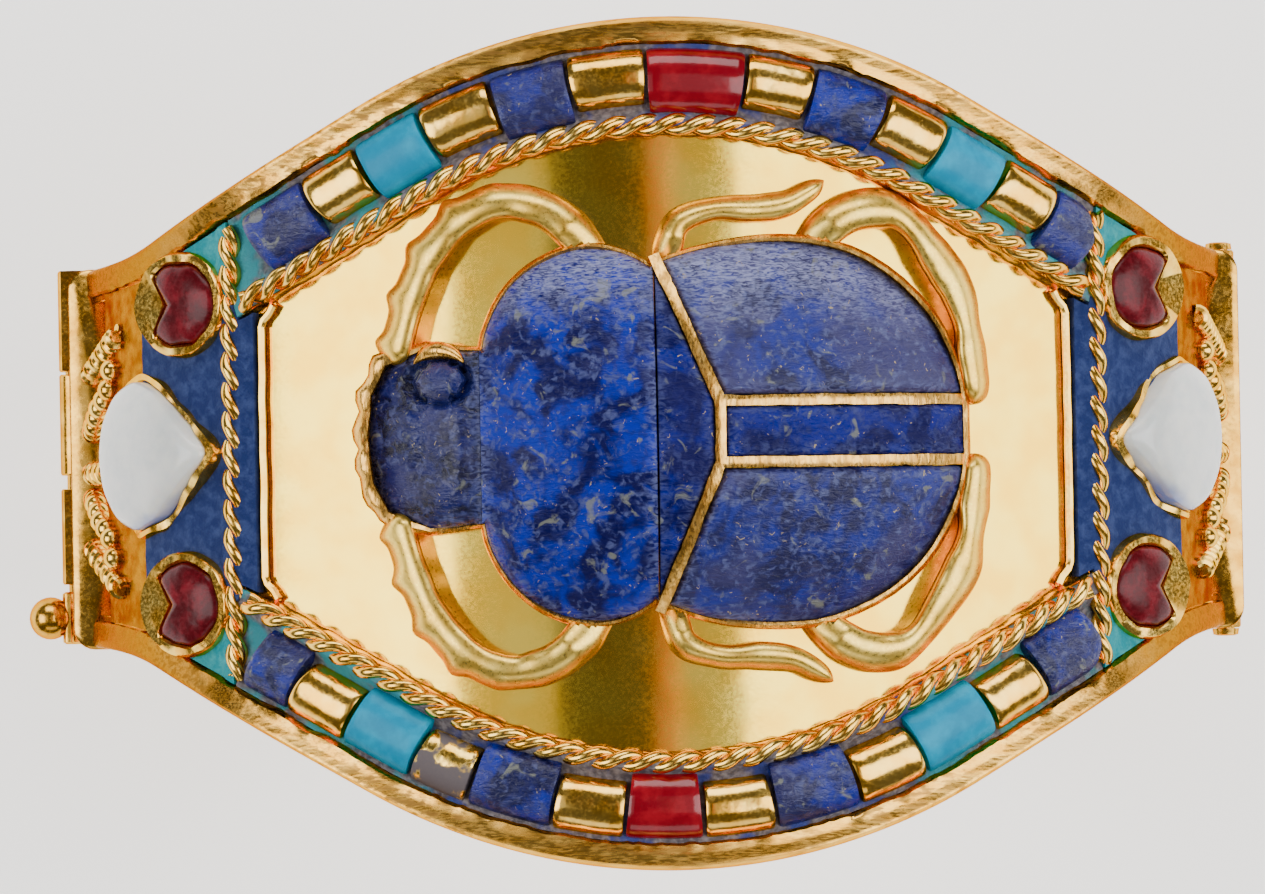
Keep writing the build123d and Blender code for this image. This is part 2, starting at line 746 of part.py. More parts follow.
with BuildPart() as scarab_setting:
    add(scarab_block(0))
    add(front_layer(set_gap, bezel_rise), mode=Mode.INTERSECT)
    for sections in (FRONT_LEG, MIDDLE_LEG, HIND_LEG):
        upper = leg(sections)
        add(upper)
        add(mirror(upper, Plane.XZ.offset(-scarab_y)))
    with BuildPart(mode=Mode.PRIVATE) as teeth:
        with BuildSketch():
            for x, y, turn in LEG_TEETH:
                for way in (1, -1):
                    with Locations(Location((hoop_x + x, scarab_y + way * y, 0), (0, 0, way * turn))):
                        Polygon((0, -tooth_length), (1.3 * tooth_length, 0), (0, tooth_length), align=None)
            for n in range(SNOUT_TEETH):
                with Locations((hoop_x + HEAD_OUTLINE[4][0], scarab_y + snout_pitch * (n - (SNOUT_TEETH - 1) / 2))):
                    Polygon((0, -snout_pitch / 2), (-tooth_length, 0), (0, snout_pitch / 2), align=None)
        extrude(amount=2 * stock)
        add(front_layer(set_gap, bezel_rise), mode=Mode.INTERSECT)
    add(teeth.part)
    add(stone_room, mode=Mode.SUBTRACT)
    with BuildPart(mode=Mode.PRIVATE) as bars:
        add(bar_block(cloison_width))
        add(scarab_block(-bezel_width / 2), mode=Mode.INTERSECT)
        add(front_layer(set_gap, 2 * dome_rise), mode=Mode.INTERSECT)
        add(dome_block(-cloison_proud), mode=Mode.INTERSECT)
    add(bars.part)
scarab_setting.part.label = "scarab_setting"

# Enamel fields, mandrakes and poppy buds at the two ends
corner_block = plan_block(rim_width + set_gap)
enamel_layer = front_layer(set_gap, enamel_rise)
ornaments = []
for side, side_name in ((-1, "left"), (1, "right")):
    mandrake_hole = mandrake_block(side, 2 * set_gap + mandrake_bezel)
    with BuildPart() as mandrake:
        add(mandrake_block(side, 0))
        add(front_layer(set_gap, stock / 8), mode=Mode.INTERSECT)
        seat = seat_plane(side * mandrake_x, 0, mandrake_tilt, 0)
        with Locations(seat.offset(mandrake_height - mandrake_dome_radius)):
            Sphere(mandrake_dome_radius, mode=Mode.INTERSECT)
    mandrake.part.label = f"mandrake_{side_name}"
    ornaments.append(mandrake.part)
    with BuildPart() as panel:
        add(side_block(lip_x + lip_width / 2 + set_gap, rope_end_x, stock, side))
        add(plan_block(rope_inner + set_gap), mode=Mode.INTERSECT)
        add(side_block(rope_end_x - rope_width / 2 + set_gap, enamel_end_x, enamel_split_y - set_gap, side))
        add(enamel_layer, mode=Mode.INTERSECT)
        add(mandrake_hole, mode=Mode.SUBTRACT)
        for end in (1, -1):
            add(bud_cup(side, end, set_gap), mode=Mode.SUBTRACT)
    panel.part.label = f"enamel_panel_{side_name}"
    ornaments.append(panel.part)
    for end, end_name in ((1, "top"), (-1, "bottom")):
        with BuildPart() as corner:
            add(side_block(rope_end_x + set_gap, bud_x, stock, side))
            add(row_block(half_width, end), mode=Mode.INTERSECT)
            add(side_block(0, half_width, enamel_split_y + set_gap, side), mode=Mode.SUBTRACT)
            add(corner_block, mode=Mode.INTERSECT)
            add(enamel_layer, mode=Mode.INTERSECT)
            add(bud_cup(side, end, set_gap), mode=Mode.SUBTRACT)
        corner.part.label = f"enamel_corner_{side_name}_{end_name}"
        ornaments.append(corner.part)
        seat = seat_plane(side * bud_x, end * bud_y, bud_tilt, bud_stand)
        with BuildPart() as bud:
            with BuildSketch(seat.offset(set_gap - bud_depth)):
                bud_outline(side, -set_gap)
            extrude(amount=bud_depth + bud_dome_rise)
            with Locations(seat.offset(bud_dome_rise - bud_dome_radius)):
                Sphere(bud_dome_radius, mode=Mode.INTERSECT)
        bud.part.label = f"poppy_bud_{side_name}_{end_name}"
        ornaments.append(bud.part)

# Back band with its collars and knuckles
with BuildPart() as back_band:
    with BuildSketch(Plane.XZ):
        with BuildLine():
            back_outline(0)
        make_face()
        with BuildLine():
            back_outline(wall)
        make_face(mode=Mode.SUBTRACT)
    extrude(amount=band_half_height, both=True)
    with Locations((hoop_x, 0, hinge_z - leaf_gap)):
        Box(4 * half_width, stock, stock, align=(Align.CENTER, Align.CENTER, Align.MIN), mode=Mode.SUBTRACT)
    edges = back_band.faces().filter_by(Axis.Y).edges()
    chamfer(edges.filter_by(lambda edge: abs(edge.center().Z - hinge_z + leaf_gap) > set_gap), band_edge)
    for side in (1, -1):
        add(collar(side, -1))
    for tube in hinge_tubes[1::2] + [clasp_back_tube]:
        add(tube)
back_band.part.label = "back_band"

# Pins
with BuildPart() as hinge_pin:
    with BuildSketch(Plane.XZ.offset(-collar_length / 2 - set_gap)):
        with Locations((hoop_x + hinge_x, hinge_z)):
            Circle(pin_radius)
    extrude(amount=collar_length + 2 * set_gap)
    for way in (1, -1):
        with BuildSketch(Plane.XZ.offset(-way * (collar_length / 2 + set_gap))):
            with Locations((hoop_x + hinge_x, hinge_z)):
                Circle(pin_head_radius)
        extrude(amount=-way * pin_head_length)
hinge_pin.part.label = "hinge_pin"

with BuildPart() as clasp_pin:
    with BuildSketch(Plane.XZ.offset(-clasp_tip)):
        with Locations((hoop_x + clasp_x, hinge_z)):
            Circle(pin_radius)
    extrude(amount=clasp_tip - clasp_head_top)
    with BuildSketch(Plane.XZ.offset(-clasp_head_top)):
        with Locations((hoop_x + clasp_x, hinge_z)):
            Circle(clasp_head_radius)
            with PolarLocations(clasp_head_radius, head_ribs):
                Circle(head_rib_depth, mode=Mode.SUBTRACT)
    extrude(amount=clasp_head_length)
    with Locations((hoop_x + clasp_x - knob_reach, clasp_head_top - clasp_head_length / 2, hinge_z)):
        Sphere(knob_radius, rotation=(0, 0, 180))
clasp_pin.part.label = "clasp_pin"

pieces = [gold_mount.part, scarab_setting.part, scarab_head, scarab_thorax, scarab_shoulder_plate]
pieces += [scarab_wing_case_top, scarab_wing_case_bottom, scarab_back_strip]
pieces += [rope_top, rope_bottom, rope_left, rope_right, channel_fill_top, channel_fill_bottom]
pieces += ornaments + [back_band.part, hinge_pin.part, clasp_pin.part]
for row_name, row in (("top_tile", top_tiles), ("bottom_tile", bottom_tiles)):
    for number, tile in enumerate(row, 1):
        tile.label = f"{row_name}_{number:02d}"
        pieces.append(tile)

os.makedirs("parts", exist_ok=True)
for piece in pieces:
    export_step(piece, f"parts/{piece.label}.step")
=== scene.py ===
"""Scarab bracelet: its looks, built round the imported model.

Lengths are millimetres until a mesh is made, which turns them into metres.
On the plaque, x runs from the middle of the oval, y along the wrist, and h is the height above the plate.
"""

import logging
from bisect import bisect_right
from collections.abc import Callable, Sequence
from dataclasses import dataclass, field
from enum import Enum
from math import acos, asin, atan2, ceil, cos, hypot, pi, radians, sin, sqrt, tan
from typing import Any

import bmesh
import bpy
from mathutils import Matrix, Vector
from mathutils.geometry import delaunay_2d_cdt
from mathutils.noise import noise

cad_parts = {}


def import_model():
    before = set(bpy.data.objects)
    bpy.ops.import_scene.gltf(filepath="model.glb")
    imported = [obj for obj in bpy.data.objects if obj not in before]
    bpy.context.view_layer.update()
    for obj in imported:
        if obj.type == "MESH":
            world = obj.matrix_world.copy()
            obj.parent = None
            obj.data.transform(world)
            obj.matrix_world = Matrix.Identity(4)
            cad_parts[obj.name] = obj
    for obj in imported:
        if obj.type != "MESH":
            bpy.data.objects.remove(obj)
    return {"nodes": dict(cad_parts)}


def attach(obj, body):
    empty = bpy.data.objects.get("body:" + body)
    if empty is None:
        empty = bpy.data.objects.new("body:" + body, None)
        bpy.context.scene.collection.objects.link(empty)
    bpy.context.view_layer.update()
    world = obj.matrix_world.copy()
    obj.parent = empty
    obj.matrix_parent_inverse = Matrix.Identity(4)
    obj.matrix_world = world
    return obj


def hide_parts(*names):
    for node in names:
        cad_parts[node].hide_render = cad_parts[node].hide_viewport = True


LOG = logging.getLogger("scarab_bracelet")
MILLIMETRE = 0.001
# Where the middle of the oval lies along the frame's X.
HOOP_X = 1.275

Loop = list[Vector]
Spot = tuple[float, float]
Plan = list[Spot]
Section = tuple[float, float, float]
Colour = tuple[float, float, float]
Palette = dict[str, bpy.types.Material]


class Body(Enum):
    """The bodies that a piece can ride on."""

    BAND = "band"
    PLAQUE = "plaque"
    CLASP = "clasp"


class Slot(Enum):
    """The record's material slots."""

    GOLD = "gold"
    LAPIS = "lapis"
    TURQUOISE = "turquoise"
    CARNELIAN = "carnelian"
    PALE_STONE = "pale_stone"
    CEMENT = "cement"
    TURQUOISE_ENAMEL = "turquoise_enamel"
    BLUE_ENAMEL = "blue_enamel"


def wander(place: float, seed: float, amount: float, pace: float = 1.0) -> float:
    """Smooth hand-made unevenness along a length.

    Args:
        place: Distance along the length.
        seed: Which of the uneven lines is read.
        amount: Greatest departure.
        pace: Waves per millimetre.

    Returns:
        A departure between minus and plus the amount.
    """
    return amount * noise(Vector((place * pace, seed * 7.31, seed * 3.17)))


def blend_step(low: float, high: float, value: float) -> float:
    """Smooth step from 0 at low to 1 at high.

    Args:
        low: Where the step starts.
        high: Where it ends.
        value: Place on it.

    Returns:
        Share of the step.
    """
    share = min(max((value - low) / (high - low), 0.0), 1.0)
    return share * share * (3 - 2 * share)


# Shader maths


class Value:
    """A socket that takes arithmetic, each operation adding its Math node."""

    def __init__(self, graph: "Graph", socket: bpy.types.NodeSocket) -> None:
        """Wraps a socket of a graph."""
        self.graph = graph
        self.socket = socket

    def _math(self, operation: str, first: Any, second: Any) -> "Value":
        """Adds one Math node."""
        return self.graph.node("ShaderNodeMath", {"operation": operation}, {0: first, 1: second})

    def __add__(self, other: "Value | float") -> "Value":
        """Sum."""
        return self._math("ADD", self, other)

    def __radd__(self, other: float) -> "Value":
        """Sum with a number first."""
        return self._math("ADD", other, self)

    def __sub__(self, other: "Value | float") -> "Value":
        """Difference."""
        return self._math("SUBTRACT", self, other)

    def __rsub__(self, other: float) -> "Value":
        """Difference with a number first."""
        return self._math("SUBTRACT", other, self)

    def __mul__(self, other: "Value | float") -> "Value":
        """Product."""
        return self._math("MULTIPLY", self, other)

    def __rmul__(self, other: float) -> "Value":
        """Product with a number first."""
        return self._math("MULTIPLY", other, self)

    def __abs__(self) -> "Value":
        """Size without sign."""
        return self._math("ABSOLUTE", self, 0.0)


class Graph:
    """The nodes of one material."""

    def __init__(self, name: str) -> None:
        """Starts an empty material with its shader and output."""
        self.material = bpy.data.materials.new(name)
        self.material.use_nodes = True
        self.tree = self.material.node_tree
        self.tree.nodes.clear()
        self.shader = self.tree.nodes.new("ShaderNodeBsdfPrincipled")
        output = self.tree.nodes.new("ShaderNodeOutputMaterial")
        self.tree.links.new(self.shader.outputs["BSDF"], output.inputs["Surface"])

    def _feed(self, socket: bpy.types.NodeSocket, value: Any) -> None:
        """Links a value to a socket, or sets a number on it.

        Args:
            socket: The socket.
            value: A wrapped socket, a number or a colour.
        """
        if isinstance(value, Value):
            self.tree.links.new(value.socket, socket)
        else:
            socket.default_value = value

    def node(self, kind: str, settings: dict[str, Any], inputs: dict[Any, Any], output: Any = 0) -> Value:
        """Adds a node.

        Args:
            kind: The node's type.
            settings: Its properties, set first.
            inputs: Values or links of its sockets, by name or number.
            output: Name or number of the socket that is returned.

        Returns:
            The chosen output.
        """
        made = self.tree.nodes.new(kind)
        for key, value in settings.items():
            setattr(made, key, value)
        for key, value in inputs.items():
            self._feed(made.inputs[key], value)
        return Value(self, made.outputs[output])

    def place(self, stretch: Section = (1, 1, 1)) -> Value:
        """Place on the piece in millimetres.

        Args:
            stretch: Waves for each one along X, Y and Z.

        Returns:
            The stretched place.
        """
        here = self.node("ShaderNodeTexCoord", {}, {}, "Object")
        scale = tuple(s / MILLIMETRE for s in stretch)
        return self.node("ShaderNodeVectorMath", {"operation": "MULTIPLY"}, {0: here, 1: scale})

    def grain(self, place: Value, scale: float, detail: float = 3.0, bend: float = 0.0) -> Value:
        """Noise between 0 and 1.

        Args:
            place: Where it is read, in millimetres.
            scale: Waves per millimetre.
            detail: Number of finer layers.
            bend: How far the pattern is distorted.

        Returns:
            The noise.
        """
        inputs = {"Vector": place, "Scale": scale, "Detail": detail, "Distortion": bend}
        return self.node("ShaderNodeTexNoise", {}, inputs, "Fac")

    def mask(self, value: Value, low: float, high: float) -> Value:
        """Smooth step from 0 at low to 1 at high."""
        settings = {"interpolation_type": "SMOOTHSTEP"}
        return self.node("ShaderNodeMapRange", settings, {"Value": value, "From Min": low, "From Max": high})

    def tint(self, share: Any, first: Any, second: Any) -> Value:
        """Colour between two colours.

        Args:
            share: 0 for the first, 1 for the second.
            first: Colour or colour link.
            second: Colour or colour link.

        Returns:
            The mixed colour.
        """
        made = self.tree.nodes.new("ShaderNodeMix")
        made.data_type = "RGBA"
        self._feed(made.inputs[0], share)
        for number, colour in ((6, first), (7, second)):
            self._feed(made.inputs[number], colour if isinstance(colour, Value) else (*colour, 1.0))
        return Value(self, made.outputs[2])

    def axis(self, place: Value, name: str) -> Value:
        """One coordinate of a place."""
        return self.node("ShaderNodeSeparateXYZ", {}, {0: place}, name)

    def relief(self, height: Value, depth: float) -> None:
        """Bumps the shader by a height between 0 and 1, depth in millimetres."""
        inputs = {"Strength": 1.0, "Distance": depth * MILLIMETRE, "Height": height}
        self.set("Normal", self.node("ShaderNodeBump", {}, inputs, "Normal"))

    def set(self, name: str, value: Any) -> None:
        """Sets or links one of the shader's sockets.

        Args:
            name: The socket's name.
            value: A number, a colour or a link.
        """
        socket = self.shader.inputs[name]
        if socket.type == "RGBA" and isinstance(value, tuple):
            value = (*value, 1.0)
        self._feed(socket, value)


@dataclass(frozen=True)
class GoldFinish:
    """Gold plate: its colours, how smooth it is, and how its surface was worked.

    The edge colour is the one that steep places take. Streaks are drawn lines, smear is cement left on the
    gold, and a painted end shade browns it towards both ends.
    """

    name: str
    light: Colour = (1.0, 0.68, 0.15)
    deep: Colour = (0.94, 0.52, 0.06)
    smooth: float = 0.1
    rough: float = 0.26
    stretch: Section = (1.0, 1.0, 1.0)
    dents: float = 0.03
    dent_scale: float = 0.9
    grime: float = 0.3
    streaks: float = 0.0
    smear: float = 0.0
    painted_end_shade: float = 0.0
    edge: Colour = (1.0, 0.68, 0.22)
    grime_brown: Colour = (0.3, 0.13, 0.03)
    streak_brown: Colour = (0.34, 0.17, 0.04)
    painted_shade_brown: Colour = (0.3, 0.13, 0.016)
    cement_grey: Colour = (0.12, 0.105, 0.12)
    painted_shade_reach: Spot = (19.0, 29.0)

    def dress(self) -> bpy.types.Material:
        """Makes the material.

        Returns:
            The material.
        """
        graph = Graph(self.name)
        place = graph.place(self.stretch)
        broad = graph.grain(place, self.dent_scale, 2.0)
        fine = graph.grain(place, 6.0, 4.0)
        spots = graph.mask(graph.grain(graph.place(), 1.7, 4.0, 0.5), 0.6, 0.74) * self.grime
        colour = graph.tint(graph.mask(broad, 0.3, 0.7), self.light, self.deep)
        colour = graph.tint(spots, colour, self.grime_brown)
        spread = self.rough - self.smooth
        rough = graph.mask(fine, 0.3, 0.75) * spread + self.smooth + spots * 0.25
        if self.streaks:
            zone = graph.mask(graph.grain(graph.place(), 0.11, 2.0), 0.4, 0.56)
            lines = graph.mask(graph.grain(place, 2.2, 5.0, 0.3), 0.46, 0.62) * zone * self.streaks
            colour = graph.tint(lines, colour, self.streak_brown)
            rough = rough + lines * 0.2
        # Painted shade: the gold is browned more the farther it lies towards either end of the plaque.
        if self.painted_end_shade:
            reach = abs(graph.axis(graph.place(), "X") - HOOP_X)
            end_shade_share = graph.mask(reach + fine * 4, *self.painted_shade_reach) * self.painted_end_shade
            colour = graph.tint(end_shade_share, colour, self.painted_shade_brown)
        if self.smear:
            cover = graph.mask(graph.grain(graph.place(), 0.55, 4.0, 0.3), self.smear, self.smear + 0.06)
            colour = graph.tint(cover, colour, self.cement_grey)
            rough = rough + cover * 0.6
            graph.set("Metallic", 1 - cover)
        else:
            graph.set("Metallic", 1.0)
        graph.set("Base Color", colour)
        graph.set("Specular Tint", self.edge)
        graph.set("Roughness", rough)
        graph.relief(broad * 0.97 + fine * 0.03, self.dents)
        return graph.material


@dataclass(frozen=True)
class LapisFinish:
    """Lapis lazuli: ultramarine and violet-blue with grey veils and gold specks.

    Its worn edges are rubbed pale, and a painted highlight of pale lavender streaks lies on its upper slopes.
    """

    name: str
    dark: Colour = (0.002, 0.003, 0.05)
    bright: Colour = (0.003, 0.016, 0.3)
    veil: float = 0.5
    worn: float = 0.0
    painted_sheen: float = 0.0
    smooth: float = 0.24
    rough: float = 0.5
    cloudy: float = 0.7
    gloss: float = 0.4
    mottle_blue: Colour = (0.012, 0.014, 0.11)
    cloud_violet: Colour = (0.035, 0.033, 0.13)
    vein_blue: Colour = (0.09, 0.11, 0.27)
    spot_grey: Colour = (0.19, 0.2, 0.16)
    painted_sheen_lavender: Colour = (0.27, 0.29, 0.52)
    rub_blue: Colour = (0.16, 0.19, 0.44)
    speck_gold: Colour = (0.42, 0.33, 0.16)
    painted_sheen_rise: Spot = (9.4, 13.4)

    def dress(self) -> bpy.types.Material:
        """Makes the material.

        Returns:
            The material.
        """
        graph = Graph(self.name)
        place = graph.place()
        cloud = graph.grain(place, 0.17, 3.0, 0.3)
        patch = graph.grain(place, 0.5, 6.0, 0.6)
        mottle = graph.grain(place, 2.4, 6.0, 0.5)
        lace = graph.grain(place, 0.62, 6.0, 0.9)
        spot = graph.grain(place, 0.85, 6.0, 0.9)
        speck = graph.grain(place, 3.1, 6.0, 1.2)
        streak = graph.grain(graph.place((1.1, 2.8, 1.4)), 1.2, 5.0, 1.6)
        blue = graph.tint(graph.mask(patch, 0.42, 0.6), self.dark, self.bright)
        blue = graph.tint(graph.mask(mottle, 0.45, 0.62) * 0.5, blue, self.mottle_blue)
        blue = graph.tint(graph.mask(cloud, 0.48, 0.6) * self.cloudy, blue, self.cloud_violet)
        veins = (1 - graph.mask(abs(lace - 0.5), 0.0, 0.1)) * graph.mask(mottle, 0.46, 0.66) * self.veil
        blue = graph.tint(veins, blue, self.vein_blue)
        blue = graph.tint(graph.mask(spot, 0.61, 0.7) * 0.75, blue, self.spot_grey)
        # Painted highlight: pale lavender streaks towards the upper side stand in for light on the upper
        # slopes.
        if self.painted_sheen:
            sheen_streaks = graph.grain(graph.place((0.7, 2.6, 0.7)), 3.0, 7.0, 1.2)
            upper = graph.mask(graph.axis(place, "Y") + cloud * 6 + mottle * 2, *self.painted_sheen_rise)
            blue = graph.tint(upper * graph.mask(sheen_streaks, 0.34, 0.66) * self.painted_sheen, blue, self.painted_sheen_lavender)
        if self.worn:
            edge = graph.node("ShaderNodeAttribute", {"attribute_name": "edge"}, {}, "Fac")
            rub = (1 - graph.mask(edge, 0.0, 0.9)) * graph.mask(streak, 0.4, 0.62) * self.worn
            blue = graph.tint(rub, blue, self.rub_blue)
        gold = graph.mask(speck, 0.67, 0.7) * graph.mask(patch, 0.42, 0.55)
        graph.set("Base Color", graph.tint(gold, blue, self.speck_gold))
        graph.set("Roughness", self.smooth + streak * (self.rough - self.smooth))
        graph.set("Specular IOR Level", self.gloss)
        graph.relief(streak * 0.7 + mottle * 0.3, 0.11)
        return graph.material


@dataclass(frozen=True)
class StoneFinish:
    """A cloudy stone or inlay of two colours, with painted bluish shade towards its lower side and its tip
    from a set threshold on.
    """

    name: str
    main: Colour
    other: Colour
    scale: float = 0.8
    low: float = 0.4
    high: float = 0.7
    smooth: float = 0.15
    rough: float = 0.3
    coat: float = 0.5
    dents: float = 0.02
    through: float = 0.0
    gloss: float = 0.4
    shade_start: float = 0.0
    tip_shade_blue: Colour = (0.16, 0.22, 0.55)
    coat_rough: float = 0.08

    def dress(self) -> bpy.types.Material:
        """Makes the material.

        Returns:
            The material.
        """
        graph = Graph(self.name)
        place = graph.place()
        cloud = graph.grain(place, self.scale, 5.0, 0.5)
        fine = graph.grain(place, self.scale * 5, 4.0)
        share = graph.mask(cloud * 0.75 + fine * 0.25, self.low, self.high)
        colour = graph.tint(share, self.main, self.other)
        # Painted shade: a bluish tint towards the lower side and the tip of the stone.
        if self.shade_start:
            reach = abs(graph.axis(place, "X") - HOOP_X)
            slant = cloud * 1.2 - graph.axis(place, "Y") * 0.75 - reach * 0.5 + 13.5
            low = graph.mask(slant, self.shade_start, self.shade_start + 1.0)
            colour = graph.tint(low, colour, self.tip_shade_blue)
        graph.set("Base Color", colour)
        graph.set("Roughness", self.smooth + fine * (self.rough - self.smooth))
        graph.set("Coat Weight", self.coat)
        graph.set("Coat Roughness", self.coat_rough)
        graph.set("Specular IOR Level", self.gloss)
        if self.through:
            graph.set("Subsurface Weight", self.through)
            graph.set("Subsurface Radius", (1.0, 0.6, 0.4))
            graph.set("Subsurface Scale", MILLIMETRE)
        graph.relief(fine * 0.5 + cloud * 0.5, self.dents)
        return graph.material


@dataclass(frozen=True)
class CementFinish:
    """Gritty setting cement, stained by the inlay near the corners."""

    name: str
    dark: Colour = (0.085, 0.075, 0.09)
    light: Colour = (0.24, 0.215, 0.23)
    blue_stain: Colour = (0.03, 0.05, 0.25)
    turquoise_stain: Colour = (0.03, 0.3, 0.36)
    stain_reach: Spot = (15.5, 17.5)

    def dress(self) -> bpy.types.Material:
        """Makes the material.

        Returns:
            The material.
        """
        graph = Graph(self.name)
        place = graph.place()
        grit = graph.grain(place, 3.2, 6.0)
        cloud = graph.grain(place, 0.45, 3.0, 0.4)
        grey = graph.tint(graph.mask(grit, 0.35, 0.7), self.dark, self.light)
        blue = graph.tint(graph.mask(cloud, 0.5, 0.64), grey, self.blue_stain)
        reach = abs(graph.axis(place, "X") - HOOP_X)
        stain = graph.mask(reach + cloud * 6, *self.stain_reach) * graph.mask(cloud, 0.4, 0.58)
        graph.set("Base Color", graph.tint(stain, blue, self.turquoise_stain))
        graph.set("Roughness", 0.6 + grit * 0.3)
        graph.relief(grit, 0.12)
        return graph.material


# Every finish of the bracelet
FINISHES = (
    GoldFinish(
        "field_gold", (1.0, 0.7, 0.09), (0.97, 0.57, 0.035), rough=0.18, dents=0.012, dent_scale=0.35,
        grime=0.05,
    ),
    # The rim gold carries painted shade that browns it towards both ends.
    GoldFinish(
        "rim_gold", (0.93, 0.53, 0.1), (0.82, 0.4, 0.05), smooth=0.16, rough=0.34, stretch=(0.3, 1.7, 1.7),
        dents=0.035, dent_scale=1.0, grime=0.2, streaks=0.85, painted_end_shade=0.85, edge=(0.8, 0.4, 0.07),
    ),
    GoldFinish("wire_gold", (1.0, 0.66, 0.14), (0.9, 0.46, 0.05), smooth=0.12, rough=0.27, grime=0.25),
    GoldFinish(
        "leg_gold", (1.0, 0.7, 0.14), (0.98, 0.6, 0.08), smooth=0.26, rough=0.42, dent_scale=0.5, grime=0.06,
    ),
    GoldFinish(
        "tile_gold", (1.0, 0.63, 0.13), (0.93, 0.48, 0.05), smooth=0.12, dents=0.05, dent_scale=0.7,
        grime=0.15,
    ),
    GoldFinish("smeared_gold", rough=0.3, dents=0.06, smear=0.42),
    GoldFinish(
        "bar_gold", (0.95, 0.55, 0.13), (0.74, 0.37, 0.06), smooth=0.18, rough=0.36, stretch=(1.4, 0.5, 1),
        dents=0.05, dent_scale=2.0, grime=0.25, streaks=0.5,
    ),
    GoldFinish(
        "collar_gold", (0.9, 0.5, 0.08), (0.62, 0.29, 0.025), smooth=0.14, rough=0.3, dents=0.04,
        dent_scale=0.8, grime=0.15, edge=(0.85, 0.42, 0.06),
    ),
    # Painted shade: a darker, browner copy of the gold for the end walls.
    GoldFinish(
        "end_gold", (0.5, 0.24, 0.03), (0.3, 0.12, 0.01), smooth=0.2, rough=0.4, dents=0.08,
        dent_scale=1.0, grime=0.4, edge=(0.5, 0.23, 0.03),
    ),
    GoldFinish("band_gold", smooth=0.14, rough=0.28, stretch=(1.0, 0.15, 1.0), dents=0.015, grime=0.1),
    LapisFinish(
        "thorax_lapis", (0.001, 0.001, 0.06), (0.001, 0.015, 0.34), veil=0.7, worn=0.45, painted_sheen=0.95,
        smooth=0.14, rough=0.34, cloudy=0.3, gloss=0.18,
    ),
    LapisFinish(
        "wing_lapis", (0.006, 0.006, 0.055), (0.008, 0.018, 0.23), veil=0.75, worn=0.5, painted_sheen=0.95,
        rough=0.48, cloudy=0.9, gloss=0.34,
    ),
    LapisFinish(
        "plate_lapis", (0.001, 0.001, 0.06), (0.002, 0.007, 0.2), veil=0.25, worn=0.2, painted_sheen=0.5,
        smooth=0.14, rough=0.32, cloudy=0.2, gloss=0.1,
    ),
    LapisFinish(
        "head_lapis", (0.003, 0.003, 0.022), (0.006, 0.01, 0.11), worn=0.4, smooth=0.12, rough=0.32,
        cloudy=0.6,
    ),
    LapisFinish("tile_lapis", veil=0.45, smooth=0.18, rough=0.4, cloudy=0.4),
    StoneFinish(
        "turquoise", (0.0, 0.25, 0.43), (0.0, 0.37, 0.59), scale=0.5, rough=0.4, coat=0.03, gloss=0.1,
    ),
    StoneFinish(
        "carnelian", (0.2, 0.001, 0.008), (0.36, 0.006, 0.016), scale=0.5, smooth=0.08, rough=0.2, coat=0.25,
    ),
    StoneFinish(
        "bud_stone", (0.07, 0.001, 0.004), (0.19, 0.006, 0.014), scale=0.9, rough=0.4, coat=0.08, gloss=0.2,
    ),
    StoneFinish(
        "pale_stone", (0.86, 0.86, 0.81), (0.68, 0.71, 0.7), scale=0.3, smooth=0.12, through=0.3,
        shade_start=2.3,
    ),
    StoneFinish(
        "blue_inlay", (0.014, 0.028, 0.12), (0.045, 0.07, 0.2), scale=1.5, smooth=0.5, rough=0.8, coat=0.0,
        dents=0.1, gloss=0.08,
    ),
    StoneFinish(
        "turquoise_inlay", (0.01, 0.28, 0.34), (0.06, 0.42, 0.45), scale=1.3, smooth=0.5, rough=0.8,
        coat=0.0, dents=0.1, gloss=0.08,
    ),
    CementFinish("cement"),
)


# Meshes


